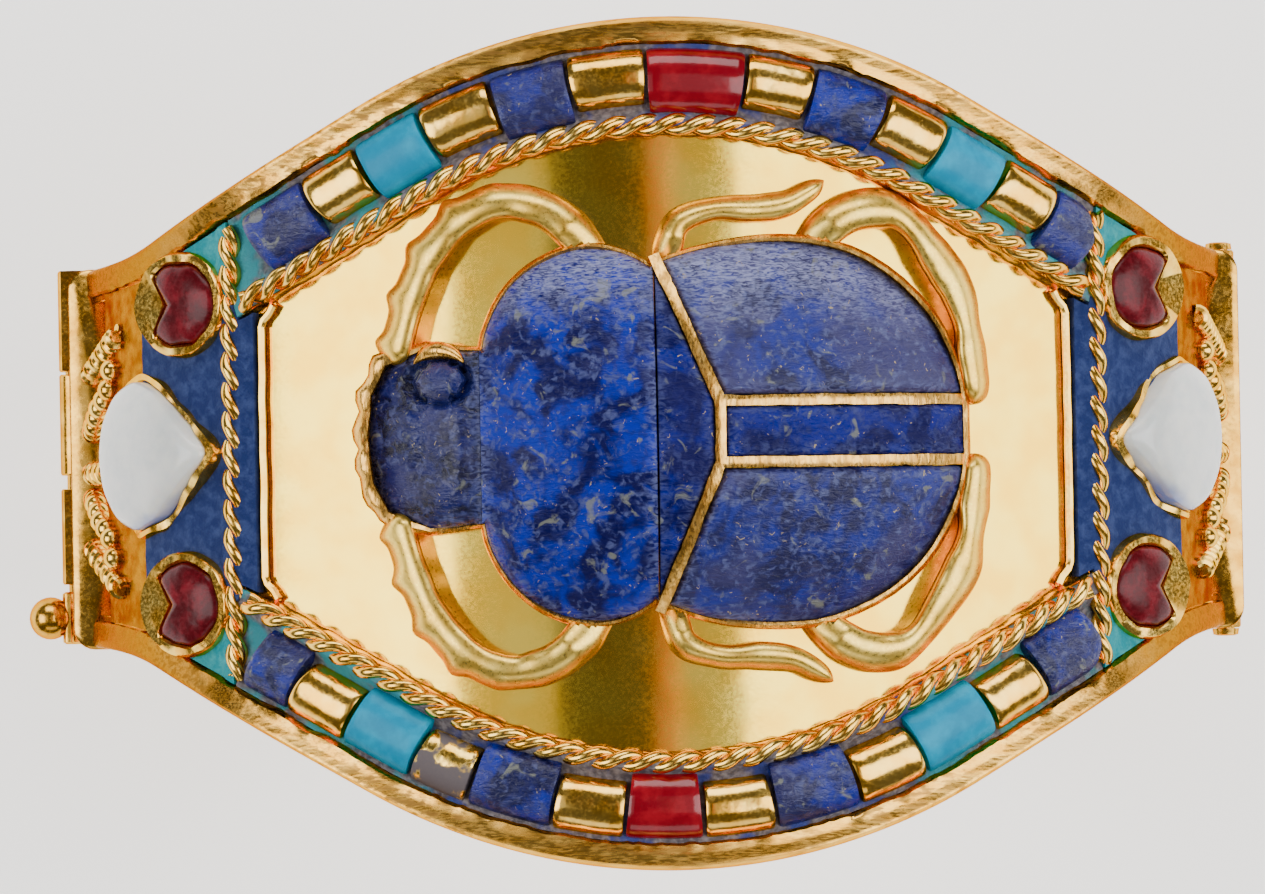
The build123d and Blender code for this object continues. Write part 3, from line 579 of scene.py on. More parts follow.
@dataclass
class Draft:
    """A mesh being made, in millimetres."""

    points: Loop = field(default_factory=list)
    faces: list[tuple[int, ...]] = field(default_factory=list)
    edges: dict[int, float] = field(default_factory=dict)

    def loft(self, loops: Sequence[Loop], closed: bool = False) -> None:
        """Skins loops of equal length.

        Args:
            loops: Closed loops, one after another.
            closed: Whether the last joins the first, where otherwise both ends are capped.
        """
        start = len(self.points)
        count = len(loops[0])
        for loop in loops:
            self.points.extend(loop)
        turns = len(loops) if closed else len(loops) - 1
        for i in range(turns):
            a = start + i * count
            b = start + (i + 1) % len(loops) * count
            for j in range(count):
                k = (j + 1) % count
                self.faces.append((a + j, a + k, b + k, b + j))
        if not closed:
            self.faces.append(tuple(range(start + count - 1, start - 1, -1)))
            last = start + (len(loops) - 1) * count
            self.faces.append(tuple(range(last, last + count)))

    def dome(self, loops: Sequence[Loop], top: Vector) -> None:
        """Skins loops and closes the last with a point, the first with a face.

        Args:
            loops: Closed loops, one after another.
            top: The point.
        """
        start = len(self.points)
        self.loft(loops)
        self.faces.pop()
        last = start + (len(loops) - 1) * len(loops[0])
        self.points.append(top)
        count = len(loops[0])
        for j in range(count):
            self.faces.append((last + j, last + (j + 1) % count, len(self.points) - 1))

    def plate(self, top: list[Loop], bottom: list[Loop], keep: Callable[[int, int], bool]) -> None:
        """A thick sheet between two grids, with walls round every opening.

        Args:
            top: Rows of points of the upper face.
            bottom: Rows of points of the lower face.
            keep: Whether the cell at a row and column is there.
        """
        rows, columns = len(top), len(top[0])
        start = len(self.points)
        for grid in (top, bottom):
            for row in grid:
                self.points.extend(row)
        under = rows * columns
        kept = {(i, j) for i in range(rows - 1) for j in range(columns - 1) if keep(i, j)}
        for i, j in sorted(kept):
            a = start + i * columns + j
            quad = (a, a + 1, a + columns + 1, a + columns)
            self.faces.append(quad)
            self.faces.append(tuple(p + under for p in reversed(quad)))
            sides = (((i - 1, j), 0, 1), ((i, j + 1), 1, 2), ((i + 1, j), 2, 3), ((i, j - 1), 3, 0))
            for neighbour, p, q in sides:
                if neighbour not in kept:
                    self.faces.append((quad[q], quad[p], quad[p] + under, quad[q] + under))

    def wire(self, path: Loop, radius: Callable[[float], float], sides: int = 8) -> None:
        """A round wire along a path.

        Args:
            path: Its centre line.
            radius: Its radius at a share of its length.
            sides: Number of sides.
        """
        loops = []
        across = (path[1] - path[0]).orthogonal().normalized()
        for i, point in enumerate(path):
            ahead = (path[min(i + 1, len(path) - 1)] - path[max(i - 1, 0)]).normalized()
            across = (across - ahead * across.dot(ahead)).normalized()
            up = ahead.cross(across)
            size = radius(i / (len(path) - 1))
            turns = [2 * pi * k / sides for k in range(sides)]
            loops.append([point + (across * cos(turn) + up * sin(turn)) * size for turn in turns])
        self.loft(loops)

    def ball(self, centre: Vector, radius: float, sides: int) -> None:
        """A granule or knob.

        Args:
            centre: Its middle.
            radius: Its radius.
            sides: Number of points round it.
        """
        turns = [2 * pi * k / sides for k in range(sides)]
        loops = []
        for i in range(1, sides // 2):
            angle = pi * i / (sides // 2)
            wide, z = radius * sin(angle), -radius * cos(angle)
            loops.append([centre + Vector((wide * cos(turn), wide * sin(turn), z)) for turn in turns])
        start = len(self.points)
        self.dome(loops, centre + Vector((0, 0, radius)))
        self.faces.remove(tuple(range(start + sides - 1, start - 1, -1)))
        self.points.append(centre - Vector((0, 0, radius)))
        for k in range(sides):
            self.faces.append((start + (k + 1) % sides, start + k, len(self.points) - 1))

    def slab(self, outline: Plan, levels: Sequence[Spot]) -> None:
        """An upright block with a plan outline, drawn in at each level.

        Args:
            outline: Corners in plan, from the hoop's middle.
            levels: Height and inset of each loop.
        """
        loops = []
        for z, inset in levels:
            loops.append([Vector((HOOP_X + x, y, z)) for x, y in inset_plan(outline, inset)])
        self.loft(loops)

    def barrel(self, x: float, z: float, stations: Sequence[Spot], bore: float) -> None:
        """A turned tube or rod along the wrist axis.

        Args:
            x: Place of its axis from the hoop's middle.
            z: Height of its axis.
            stations: y and radius of each section.
            bore: Radius of the hole, or 0 for a rod.
        """
        sides = 32
        turns = [2 * pi * k / sides for k in range(sides)]

        def ring(y: float, radius: float) -> Loop:
            """One round section."""
            return [Vector((HOOP_X + x + radius * cos(turn), y, z + radius * sin(turn))) for turn in turns]

        loops = [ring(y, radius) for y, radius in stations]
        if bore:
            loops += [ring(stations[-1][0], bore), ring(stations[0][0], bore)]
        self.loft(loops, closed=bool(bore))

    def relief(
        self, outline: Plan, height: Callable[[float, float, float], Vector],
        floor: Callable[[float, float], Vector], spacing: float,
    ) -> None:
        """A carved stone: a prism with a modelled top.

        Args:
            outline: Its corners in plan.
            height: Point of the top at x, y and distance from the edge.
            floor: Point of the underside at x and y.
            spacing: Distance between points inside.
        """
        inner: Plan = []
        edge_rows = (0.05, 0.12, 0.22, 0.36)
        for inset in edge_rows:
            inner += [p for p in inset_plan(outline, inset) if edge_distance(outline, *p) > inset * 0.8]
        xs, ys = [p[0] for p in outline], [p[1] for p in outline]
        for j in range(ceil((max(ys) - min(ys)) / spacing)):
            for i in range(ceil((max(xs) - min(xs)) / spacing)):
                x = min(xs) + (i + 0.5 * (j % 2)) * spacing
                y = min(ys) + j * spacing
                if inside(outline, x, y) and edge_distance(outline, x, y) > edge_rows[-1] + spacing * 0.4:
                    inner.append((x, y))
        flat = [Vector(p) for p in outline + inner if p in outline or inside(outline, *p)]
        rim = list(range(len(outline)))
        found, _, triangles, *_ = delaunay_2d_cdt(flat, [], [rim], 1, 1e-6)
        start, count = len(self.points), len(found)
        for x, y in found:
            distance = edge_distance(outline, x, y)
            self.edges[len(self.points)] = distance
            self.points.append(height(x, y, distance))
        for x, y in found:
            self.points.append(floor(x, y))
        once: dict[tuple[int, int], int] = {}
        for a, b, c in triangles:
            self.faces.append((start + a, start + b, start + c))
            self.faces.append((start + count + c, start + count + b, start + count + a))
            for pair in ((a, b), (b, c), (c, a)):
                once[pair] = once.get(pair, 0) + 1
        for a, b in once:
            if (b, a) not in once:
                self.faces.append((start + b, start + a, start + count + a, start + count + b))

    def finish(
        self, name: str, material: bpy.types.Material, body: Body, slot: Slot, replaced: Sequence[str] = (),
        sharp: float = 38.0,
    ) -> None:
        """Makes the object, hangs it on the body it rides on, and hides the CAD nodes it stands for.

        Args:
            name: The piece's name.
            material: Its material.
            body: The body it rides on.
            slot: The record's slot; not used.
            replaced: The CAD nodes it stands for.
            sharp: Angle in degrees above which an edge stays crisp.
        """
        mesh = bpy.data.meshes.new(name)
        mesh.from_pydata([p * MILLIMETRE for p in self.points], [], self.faces)
        if self.edges:
            distances = mesh.attributes.new("edge", "FLOAT", "POINT")
            for number, distance in self.edges.items():
                distances.data[number].value = distance
        work = bmesh.new()
        work.from_mesh(mesh)
        loose = [v for v in work.verts if not v.link_faces]
        bmesh.ops.delete(work, geom=loose, context="VERTS")
        bmesh.ops.recalc_face_normals(work, faces=work.faces)
        work.to_mesh(mesh)
        work.free()
        mesh.shade_smooth()
        mesh.set_sharp_from_angle(angle=radians(sharp))
        mesh.materials.append(material)
        piece = bpy.data.objects.new(name, mesh)
        bpy.context.scene.collection.objects.link(piece)
        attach(piece, body.value)
        if replaced:
            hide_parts(*replaced)
        LOG.info("%s: %d faces on %s", name, len(mesh.polygons), body.value)


def inset_plan(outline: Plan, inset: float) -> Plan:
    """The outline drawn inwards.

    Args:
        outline: Corners, anticlockwise.
        inset: Distance inwards.

    Returns:
        As many corners.
    """
    if not inset:
        return list(outline)
    made = []
    count = len(outline)
    for i, (x, y) in enumerate(outline):
        ax, ay = outline[i - 1]
        bx, by = outline[(i + 1) % count]
        first, second = hypot(x - ax, y - ay) or 1.0, hypot(bx - x, by - y) or 1.0
        nx = -(y - ay) / first - (by - y) / second
        ny = (x - ax) / first + (bx - x) / second
        size = hypot(nx, ny) or 1.0
        stretch = min(2 / size, 1.6)
        made.append((x + nx / size * inset * stretch, y + ny / size * inset * stretch))
    return made


def edge_distance(outline: Plan, x: float, y: float) -> float:
    """Distance in plan from a point to the outline.

    Args:
        outline: Its corners.
        x: Place of the point.
        y: Place of the point along the wrist.

    Returns:
        The distance to the nearest edge.
    """
    least = 1e9
    for i, (bx, by) in enumerate(outline):
        ax, ay = outline[i - 1]
        dx, dy = bx - ax, by - ay
        length = dx * dx + dy * dy
        share = min(max(((x - ax) * dx + (y - ay) * dy) / length, 0.0), 1.0) if length else 0.0
        least = min(least, (x - ax - share * dx) ** 2 + (y - ay - share * dy) ** 2)
    return sqrt(least)


def inside(outline: Plan, x: float, y: float) -> bool:
    """Whether a point lies inside the outline.

    Args:
        outline: Its corners.
        x: Place of the point.
        y: Place of the point along the wrist.

    Returns:
        True where it does.
    """
    found = False
    for i, (bx, by) in enumerate(outline):
        ax, ay = outline[i - 1]
        if (ay > y) != (by > y) and x < (bx - ax) * (y - ay) / (by - ay) + ax:
            found = not found
    return found


def cut_plan(outline: Plan, a: float, b: float, c: float) -> Plan:
    """The part of an outline where a x + b y is at least c.

    Args:
        outline: Corners, anticlockwise.
        a: Share of x.
        b: Share of y.
        c: The least sum that is kept.

    Returns:
        Corners of the part, without those that fall together.
    """
    together = 0.02
    kept: Plan = []
    for i, (bx, by) in enumerate(outline):
        ax, ay = outline[i - 1]
        first, second = a * ax + b * ay - c, a * bx + b * by - c
        if (first < 0) != (second < 0):
            share = first / (first - second)
            kept.append((ax + (bx - ax) * share, ay + (by - ay) * share))
        if second >= 0:
            kept.append((bx, by))
    clean: Plan = []
    for point in kept:
        if not clean or hypot(point[0] - clean[-1][0], point[1] - clean[-1][1]) > together:
            clean.append(point)
    return clean


def even_plan(outline: Plan, step: float) -> Plan:
    """The outline with more points, its corners kept.

    Args:
        outline: Its corners.
        step: About how far apart the points are.

    Returns:
        The points.
    """
    made: Plan = []
    for i, (bx, by) in enumerate(outline):
        ax, ay = outline[i - 1]
        parts = max(1, round(hypot(bx - ax, by - ay) / step))
        made += [(ax + (bx - ax) * k / parts, ay + (by - ay) * k / parts) for k in range(1, parts + 1)]
    return made


# Shape of the plaque


@dataclass(frozen=True)
class Plate:
    """The curved lens-shaped plate that everything on the front stands on.

    Its plan is an arc in the middle, a straight flank on each side and a flare at each end. From the front it
    is a crown between two shoulders, which end upright over the hinge and the clasp.
    """

    half_width: float = 31.0
    crown_radius: float = 37.5
    shoulder_radius: float = 21.5
    crown_centre_z: float = 11.136
    hinge_z: float = 24.01
    half_height: float = 22.3
    arc_radius: float = 31.0
    flare_radius: float = 8.0
    end_half_height: float = 10.4
    wall: float = 1.2
    rim_width: float = 1.45
    tile_inset: float = 3.2
    rope_inset: float = 5.7
    rope_end_x: float = 22.6

    @property
    def shoulder_x(self) -> float:
        """Distance of a shoulder's centre from the middle."""
        return self.half_width - self.shoulder_radius

    @property
    def crown_angle(self) -> float:
        """Half the angle of the crown's arc."""
        return asin(self.shoulder_x / (self.crown_radius - self.shoulder_radius))

    @property
    def crown_z(self) -> float:
        """Height of the plate at its middle."""
        return self.crown_centre_z + self.crown_radius

    @property
    def arc_y(self) -> float:
        """Centre of the plan's long arc."""
        return self.half_height - self.arc_radius

    @property
    def flare_y(self) -> float:
        """Centre of the plan's end flare."""
        return self.end_half_height + self.flare_radius

    @property
    def flank_angle(self) -> float:
        """Slope of the plan's straight flank."""
        rise = self.flare_y - self.arc_y
        reach = hypot(self.half_width, rise)
        return atan2(self.half_width, rise) - acos((self.arc_radius + self.flare_radius) / reach)

    def lift(self, x: float, y: float, h: float) -> Vector:
        """Point straight above x and y on the face that stands h above the plate.

        Args:
            x: Place from the middle.
            y: Place along the wrist.
            h: How far the face stands off the plate.

        Returns:
            The point.
        """
        reach = abs(x)
        radius = self.crown_radius + h
        if reach <= radius * sin(self.crown_angle):
            return Vector((HOOP_X + x, y, self.crown_centre_z + sqrt(radius * radius - reach * reach)))
        radius = self.shoulder_radius + h
        along = min(reach - self.shoulder_x, radius)
        return Vector((HOOP_X + x, y, self.hinge_z + sqrt(radius * radius - along * along)))

    def slope(self, x: float) -> float:
        """Slope of the plate at a place.

        Args:
            x: The place from the middle.

        Returns:
            Its angle, positive towards +X.
        """
        reach = abs(x)
        if reach <= self.crown_radius * sin(self.crown_angle):
            angle = asin(reach / self.crown_radius)
        else:
            angle = asin(min((reach - self.shoulder_x) / self.shoulder_radius, 1.0))
        return angle if x > 0 else -angle

    def stand(self, x: float, y: float, h: float) -> Vector:
        """Point h off the plate, square to it, from the plate's own x and y."""
        angle = self.slope(x)
        return self.lift(x, y, 0) + Vector((sin(angle), 0, cos(angle))) * h

    def height(self, point: Vector) -> float:
        """How far a point stands off the plate.

        Args:
            point: The point.

        Returns:
            The distance, square to the plate.
        """
        x, z = abs(point.x - HOOP_X), point.z
        if atan2(x, z - self.crown_centre_z) <= self.crown_angle:
            return hypot(x, z - self.crown_centre_z) - self.crown_radius
        return hypot(x - self.shoulder_x, z - self.hinge_z) - self.shoulder_radius

    def drop(self, point: Vector, way: Vector, h: float) -> Vector:
        """Where a line from a point meets the face that stands h above the plate.

        Args:
            point: The line's start, above that face.
            way: Its direction.
            h: How far the face stands off the plate.

        Returns:
            The place where they meet.
        """
        halvings = 30
        near, far = 0.0, 12.0
        for _ in range(halvings):
            middle = (near + far) / 2
            if self.height(point + way * middle) > h:
                near = middle
            else:
                far = middle
        return point + way * near

    def edge(self, x: float, inset: float) -> float:
        """Half height of the plan.

        Args:
            x: Place from the middle.
            inset: How far the plan is drawn in.

        Returns:
            The half height there.
        """
        reach = abs(x)
        radius = self.arc_radius - inset
        turn = self.flank_angle
        if reach <= radius * sin(turn):
            return self.arc_y + sqrt(radius * radius - reach * reach)
        flare = self.flare_radius + inset
        if reach >= self.half_width - flare * sin(turn):
            across = max(self.half_width - reach, 0.0)
            return self.flare_y - sqrt(flare * flare - across * across)
        return self.arc_y + radius * cos(turn) - (reach - radius * sin(turn)) * tan(turn)

    def row(self, distance: float, inset: float, end: int) -> Spot:
        """Place in plan on a tile row.

        Args:
            distance: Distance along the row from the middle.
            inset: How far the place is drawn in from the plan's edge.
            end: 1 for the top row, -1 for the bottom row.

        Returns:
            x and y.
        """
        turn = self.flank_angle
        arc = (self.arc_radius - self.tile_inset) * turn
        along = min(abs(distance), arc)
        angle = along / (self.arc_radius - self.tile_inset)
        beyond = abs(distance) - along
        x = (self.arc_radius - inset) * sin(angle) + beyond * cos(turn)
        y = self.arc_y + (self.arc_radius - inset) * cos(angle) - beyond * sin(turn)
        return (x if distance > 0 else -x), end * y

    def reach_x(self, height: float) -> float:
        """Distance of the plate's face from the middle at a height above the hinge."""
        return self.shoulder_x + sqrt(self.shoulder_radius**2 - height**2)


@dataclass(frozen=True)
class Seat:
    """A tilted place on the plate for an end ornament."""

    origin: Vector
    x_dir: Vector
    z_dir: Vector

    @classmethod
    def on(cls, plate: Plate, x: float, y: float, tilt: float, stand: float) -> "Seat":
        """Seat at a place on the plate.

        Args:
            plate: The plate.
            x: Place from the middle.
            y: Place along the wrist.
            tilt: Outward lean in degrees.
            stand: Height straight above the plate.

        Returns:
            The seat.
        """
        lean = radians(tilt) if x > 0 else -radians(tilt)
        origin = plate.lift(x, y, 0) + Vector((0, 0, stand))
        return cls(origin, Vector((cos(lean), 0, -sin(lean))), Vector((sin(lean), 0, cos(lean))))

    def point(self, a: float, b: float, c: float) -> Vector:
        """Point at a outwards along the slope, b along the wrist and c up."""
        return self.origin + self.x_dir * a + Vector((0, b, 0)) + self.z_dir * c


@dataclass
class Assembly:
    """A sub-assembly, with the plate that it is fitted to and the finishes that it takes."""

    plate: Plate
    palette: Palette

    def gild(self, draft: Draft, name: str, finish: str, replaced: Sequence[str] = ()) -> None:
        """Makes a gold piece of the plaque from its mesh."""
        draft.finish(name, self.palette[finish], Body.PLAQUE, Slot.GOLD, replaced)


# The mount


@dataclass
class Mount(Assembly):
    """The gold front half: plate, rims, rope seats, lips, collars and its knuckles."""

    rim_rise: float = 1.5
    rim_end_rise: float = 0.45
    rim_half_length: float = 30.9
    rope_width: float = 1.1
    lip_x: float = 21.2
    lip_half_height: float = 7.8
    lip_radius: float = 0.23
    window_half_height: float = 8.6
    window_low: float = 2.25
    window_high: float = 6.3
    below_window: float = 1.3
    end_wall_x: float = 25.6
    end_wall_inset: float = 1.5

    def build(self) -> None:
        """Builds and dresses the mount."""
        self.base()
        self.end_walls()
        self.rims()
        self.rope_seats()
        self.lips()
        self.collars()

    def base(self) -> None:
        """The plate with its windows."""
        plate = self.plate
        crown = plate.crown_radius * sin(plate.crown_angle)
        low, high = plate.reach_x(self.window_low), plate.reach_x(self.window_high)
        half = [crown * k / 36 for k in range(37)]
        half += [crown + (high - crown) * sin(pi / 2 * k / 16) for k in range(1, 17)]
        half += [high + (low - high) * k / 6 for k in range(1, 7)]
        half += [plate.reach_x(self.window_low - self.below_window * k / 3) for k in range(1, 4)]
        xs = [-x for x in reversed(half[1:])] + half
        share = self.window_half_height / plate.edge(low, 0)
        across = [-1.0, -0.96] + [share * (k / 12 - 1) for k in range(25)] + [0.96, 1.0]

        def sheet(h: float) -> list[Loop]:
            """One face of the plate."""
            return [[plate.stand(x, t * plate.edge(x, 0.02), h) for t in across] for x in xs]

        def kept(i: int, j: int) -> bool:
            """Whether a cell is metal, and not in a window."""
            middle = abs(xs[i] + xs[i + 1]) / 2
            return not (high < middle < low and 2 <= j < len(across) - 3)

        draft = Draft()
        draft.plate(sheet(0), sheet(-plate.wall), kept)
        self.gild(draft, "gold_plate", "field_gold", ["gold_mount"])

    def end_walls(self) -> None:
        """The rough-worked gold below the end ornaments, open at the windows, coloured darker as painted
        shade.
        """
        plate, inset = self.plate, self.end_wall_inset
        low, high = plate.reach_x(self.window_low), plate.reach_x(self.window_high)
        solid = 14
        xs = [self.end_wall_x + (high - self.end_wall_x) * k / solid for k in range(solid + 1)]
        xs += [high + (low - high) * k / 6 for k in range(1, 7)]
        share = (self.window_half_height + 0.05) / plate.edge(low, inset)
        across = [-1.0] + [share * (k / 12 - 1) for k in range(25)] + [1.0]

        def sheet(side: int, h: float) -> list[Loop]:
            """One face of an end wall."""
            return [[plate.stand(side * x, t * plate.edge(x, inset), h) for t in across] for x in xs]

        draft = Draft()
        last = len(across) - 2
        for side in (1, -1):
            draft.plate(sheet(side, 0.09), sheet(side, -0.2), lambda i, j: i < solid or not 1 <= j < last)
        self.gild(draft, "end_walls", "end_gold")

    def rims(self) -> None:
        """The raised border along both long edges, its inner edge nicked by hand."""
        plate = self.plate
        draft = Draft()
        for end in (1, -1):
            loops = []
            steps = 260
            for k in range(steps + 1):
                t = 2 * k / steps - 1
                x = self.rim_half_length * sin(pi / 2 * t) * 0.35 + self.rim_half_length * t * 0.65
                rise = self.rim_rise - (self.rim_rise - self.rim_end_rise) * blend_step(20.0, 30.5, abs(x))
                nick = wander(x, 2 + end, 0.16, 0.8) + wander(x, 5 + end, 0.08, 3.0)
                inner = plate.rim_width + nick
                profile = (
                    (0.03, -0.5), (0.03, rise * 0.5), (0.08, rise * 0.74), (0.18, rise * 0.9),
                    (0.34, rise), (0.5, rise * 0.985), (0.8, rise * 0.9), (1.1, rise * 0.88),
                    (inner - 0.12, rise * 0.86 + nick), (inner, rise * 0.6), (inner, -0.3),
                )
                loops.append([plate.stand(x, end * plate.edge(x, inset), h) for inset, h in profile])
            draft.loft(loops)
        self.gild(draft, "rims", "rim_gold")

    def rope_seats(self) -> None:
        """The walls that the ropes are soldered on."""
        plate = self.plate
        draft = Draft()
        inner = plate.rope_inset + self.rope_width / 2
        outer = plate.rope_inset - self.rope_width / 2
        for end in (1, -1):
            loops = []
            for k in range(181):
                x = (plate.rope_end_x - 0.6) * (k / 90 - 1)
                wave = wander(x, 11 + end, 0.1, 1.3)
                profile = (
                    (outer, -0.3), (outer, 0.6), (inner - 0.1, 0.66 + wave), (inner + wave, 0.45),
                    (inner + wave, -0.3),
                )
                loops.append([plate.stand(x, end * plate.edge(x, inset), h) for inset, h in profile])
            draft.loft(loops)
        self.gild(draft, "rope_seats", "wire_gold")

    def lips(self) -> None:
        """The thin upright edge at each end of the field."""
        plate = self.plate
        draft = Draft()
        for side in (1, -1):
            path = []
            for k in range(41):
                t = k / 20 - 1
                x = self.lip_x - blend_step(0.86, 1.0, abs(t)) * 0.7 + wander(t, side, 0.06, 4)
                path.append(plate.stand(side * x, t * self.lip_half_height, 0.33))
            draft.wire(path, lambda share: self.lip_radius)
        self.gild(draft, "lips", "wire_gold")

    def collars(self) -> None:
        """The end collars with the knuckles of hinge and clasp."""
        draft = Draft()
        for side in (1, -1):
            Fittings.collar(draft, self.plate.hinge_z + Fittings.leaf_gap, side)
        for x, low, high in Fittings.front_knuckles():
            Fittings.knuckle(draft, self.plate.hinge_z, x, low, high, 1)
        self.gild(draft, "front_collars", "collar_gold")


@dataclass(frozen=True)
class Fittings:
    """Collars and knuckles that the two halves share."""

    collar_length: float = 21.0
    collar_height: float = 1.3
    collar_back_x: float = 29.8
    collar_corner: Spot = (31.2, 9.3)
    collar_round: float = 1.2
    leaf_gap: float = 0.95
    hinge_x: float = 31.55
    clasp_x: float = -32.2
    knuckle_gap: float = 0.14
    knuckle_radius: float = 0.85
    neck_half_width: float = 0.6
    bore: float = 0.55

    @classmethod
    def collar(cls, draft: Draft, base: float, side: int) -> None:
        """A flange with two rounded edges and a groove between them.

        Args:
            draft: Mesh that takes it.
            base: Height of its underside.
            side: 1 for the hinge end, -1 for the clasp end.
        """
        half = cls.collar_length / 2
        outline: Plan = [(side * cls.collar_back_x, -half)]
        for way in (-1, 1):
            for k in range(7):
                angle = pi / 2 * (k / 6 if way > 0 else k / 6 - 1)
                x = cls.collar_corner[0] + cls.collar_round * cos(angle)
                outline.append((side * x, way * cls.collar_corner[1] + cls.collar_round * sin(angle)))
        outline.append((side * cls.collar_back_x, half))
        if side < 0:
            outline.reverse()
        levels = (
            (0, 0.2), (0.12, 0.04), (0.36, 0), (0.5, 0.12), (0.65, 0.22), (0.8, 0.12), (0.94, 0),
            (1.18, 0.04), (cls.collar_height, 0.2),
        )
        draft.slab(outline, [(base + z, inset) for z, inset in levels])

    @classmethod
    def hinge_stations(cls) -> list[Spot]:
        """The five hinge knuckles along the wrist.

        Returns:
            Low and high y of each, from the top.
        """
        pitch = (cls.collar_length + cls.knuckle_gap) / 5
        tops = [cls.collar_length / 2 - n * pitch for n in range(5)]
        return [(top - pitch + cls.knuckle_gap, top) for top in tops]

    @classmethod
    def front_knuckles(cls) -> list[Section]:
        """Axis and ends of the front half's knuckles."""
        hinge = [(cls.hinge_x, low, high) for low, high in cls.hinge_stations()[::2]]
        return hinge + [(cls.clasp_x, 4.9, 10.5), (cls.clasp_x, -6.89, -1.59)]

    @classmethod
    def back_knuckles(cls) -> list[Section]:
        """Axis and ends of the back half's knuckles."""
        hinge = [(cls.hinge_x, low, high) for low, high in cls.hinge_stations()[1::2]]
        return hinge + [(cls.clasp_x, -0.84, 4.76)]

    @classmethod
    def knuckle(cls, draft: Draft, z: float, x: float, low: float, high: float, way: int) -> None:
        """A tube and the neck that joins it to its own collar.

        Args:
            draft: Mesh that takes it.
            z: Height of the axis.
            x: Place of the axis.
            low: Its lower end along the wrist.
            high: Its upper end.
            way: 1 for the front half, -1 for the back half.
        """
        radius = cls.knuckle_radius
        stations = [(low, radius - 0.08), (low + 0.1, radius), (high - 0.1, radius), (high, radius - 0.08)]
        draft.barrel(x, z, stations, cls.bore)
        near, far = 0.72, 1.6
        levels = sorted((z + way * h, 0.0) for h in (near, far))
        left, right = x - cls.neck_half_width, x + cls.neck_half_width
        low, high = low + 0.04, high - 0.04
        draft.slab([(left, low), (right, low), (right, high), (left, high)], levels)


# The border


class Kind(Enum):
    """What a tile is cut from: its finish, its slot and its width."""

    LAPIS = ("tile_lapis", Slot.LAPIS, 3.6)
    GOLD = ("tile_gold", Slot.GOLD, 2.95)
    TURQUOISE = ("turquoise", Slot.TURQUOISE, 3.4)
    CARNELIAN = ("carnelian", Slot.CARNELIAN, 3.5)


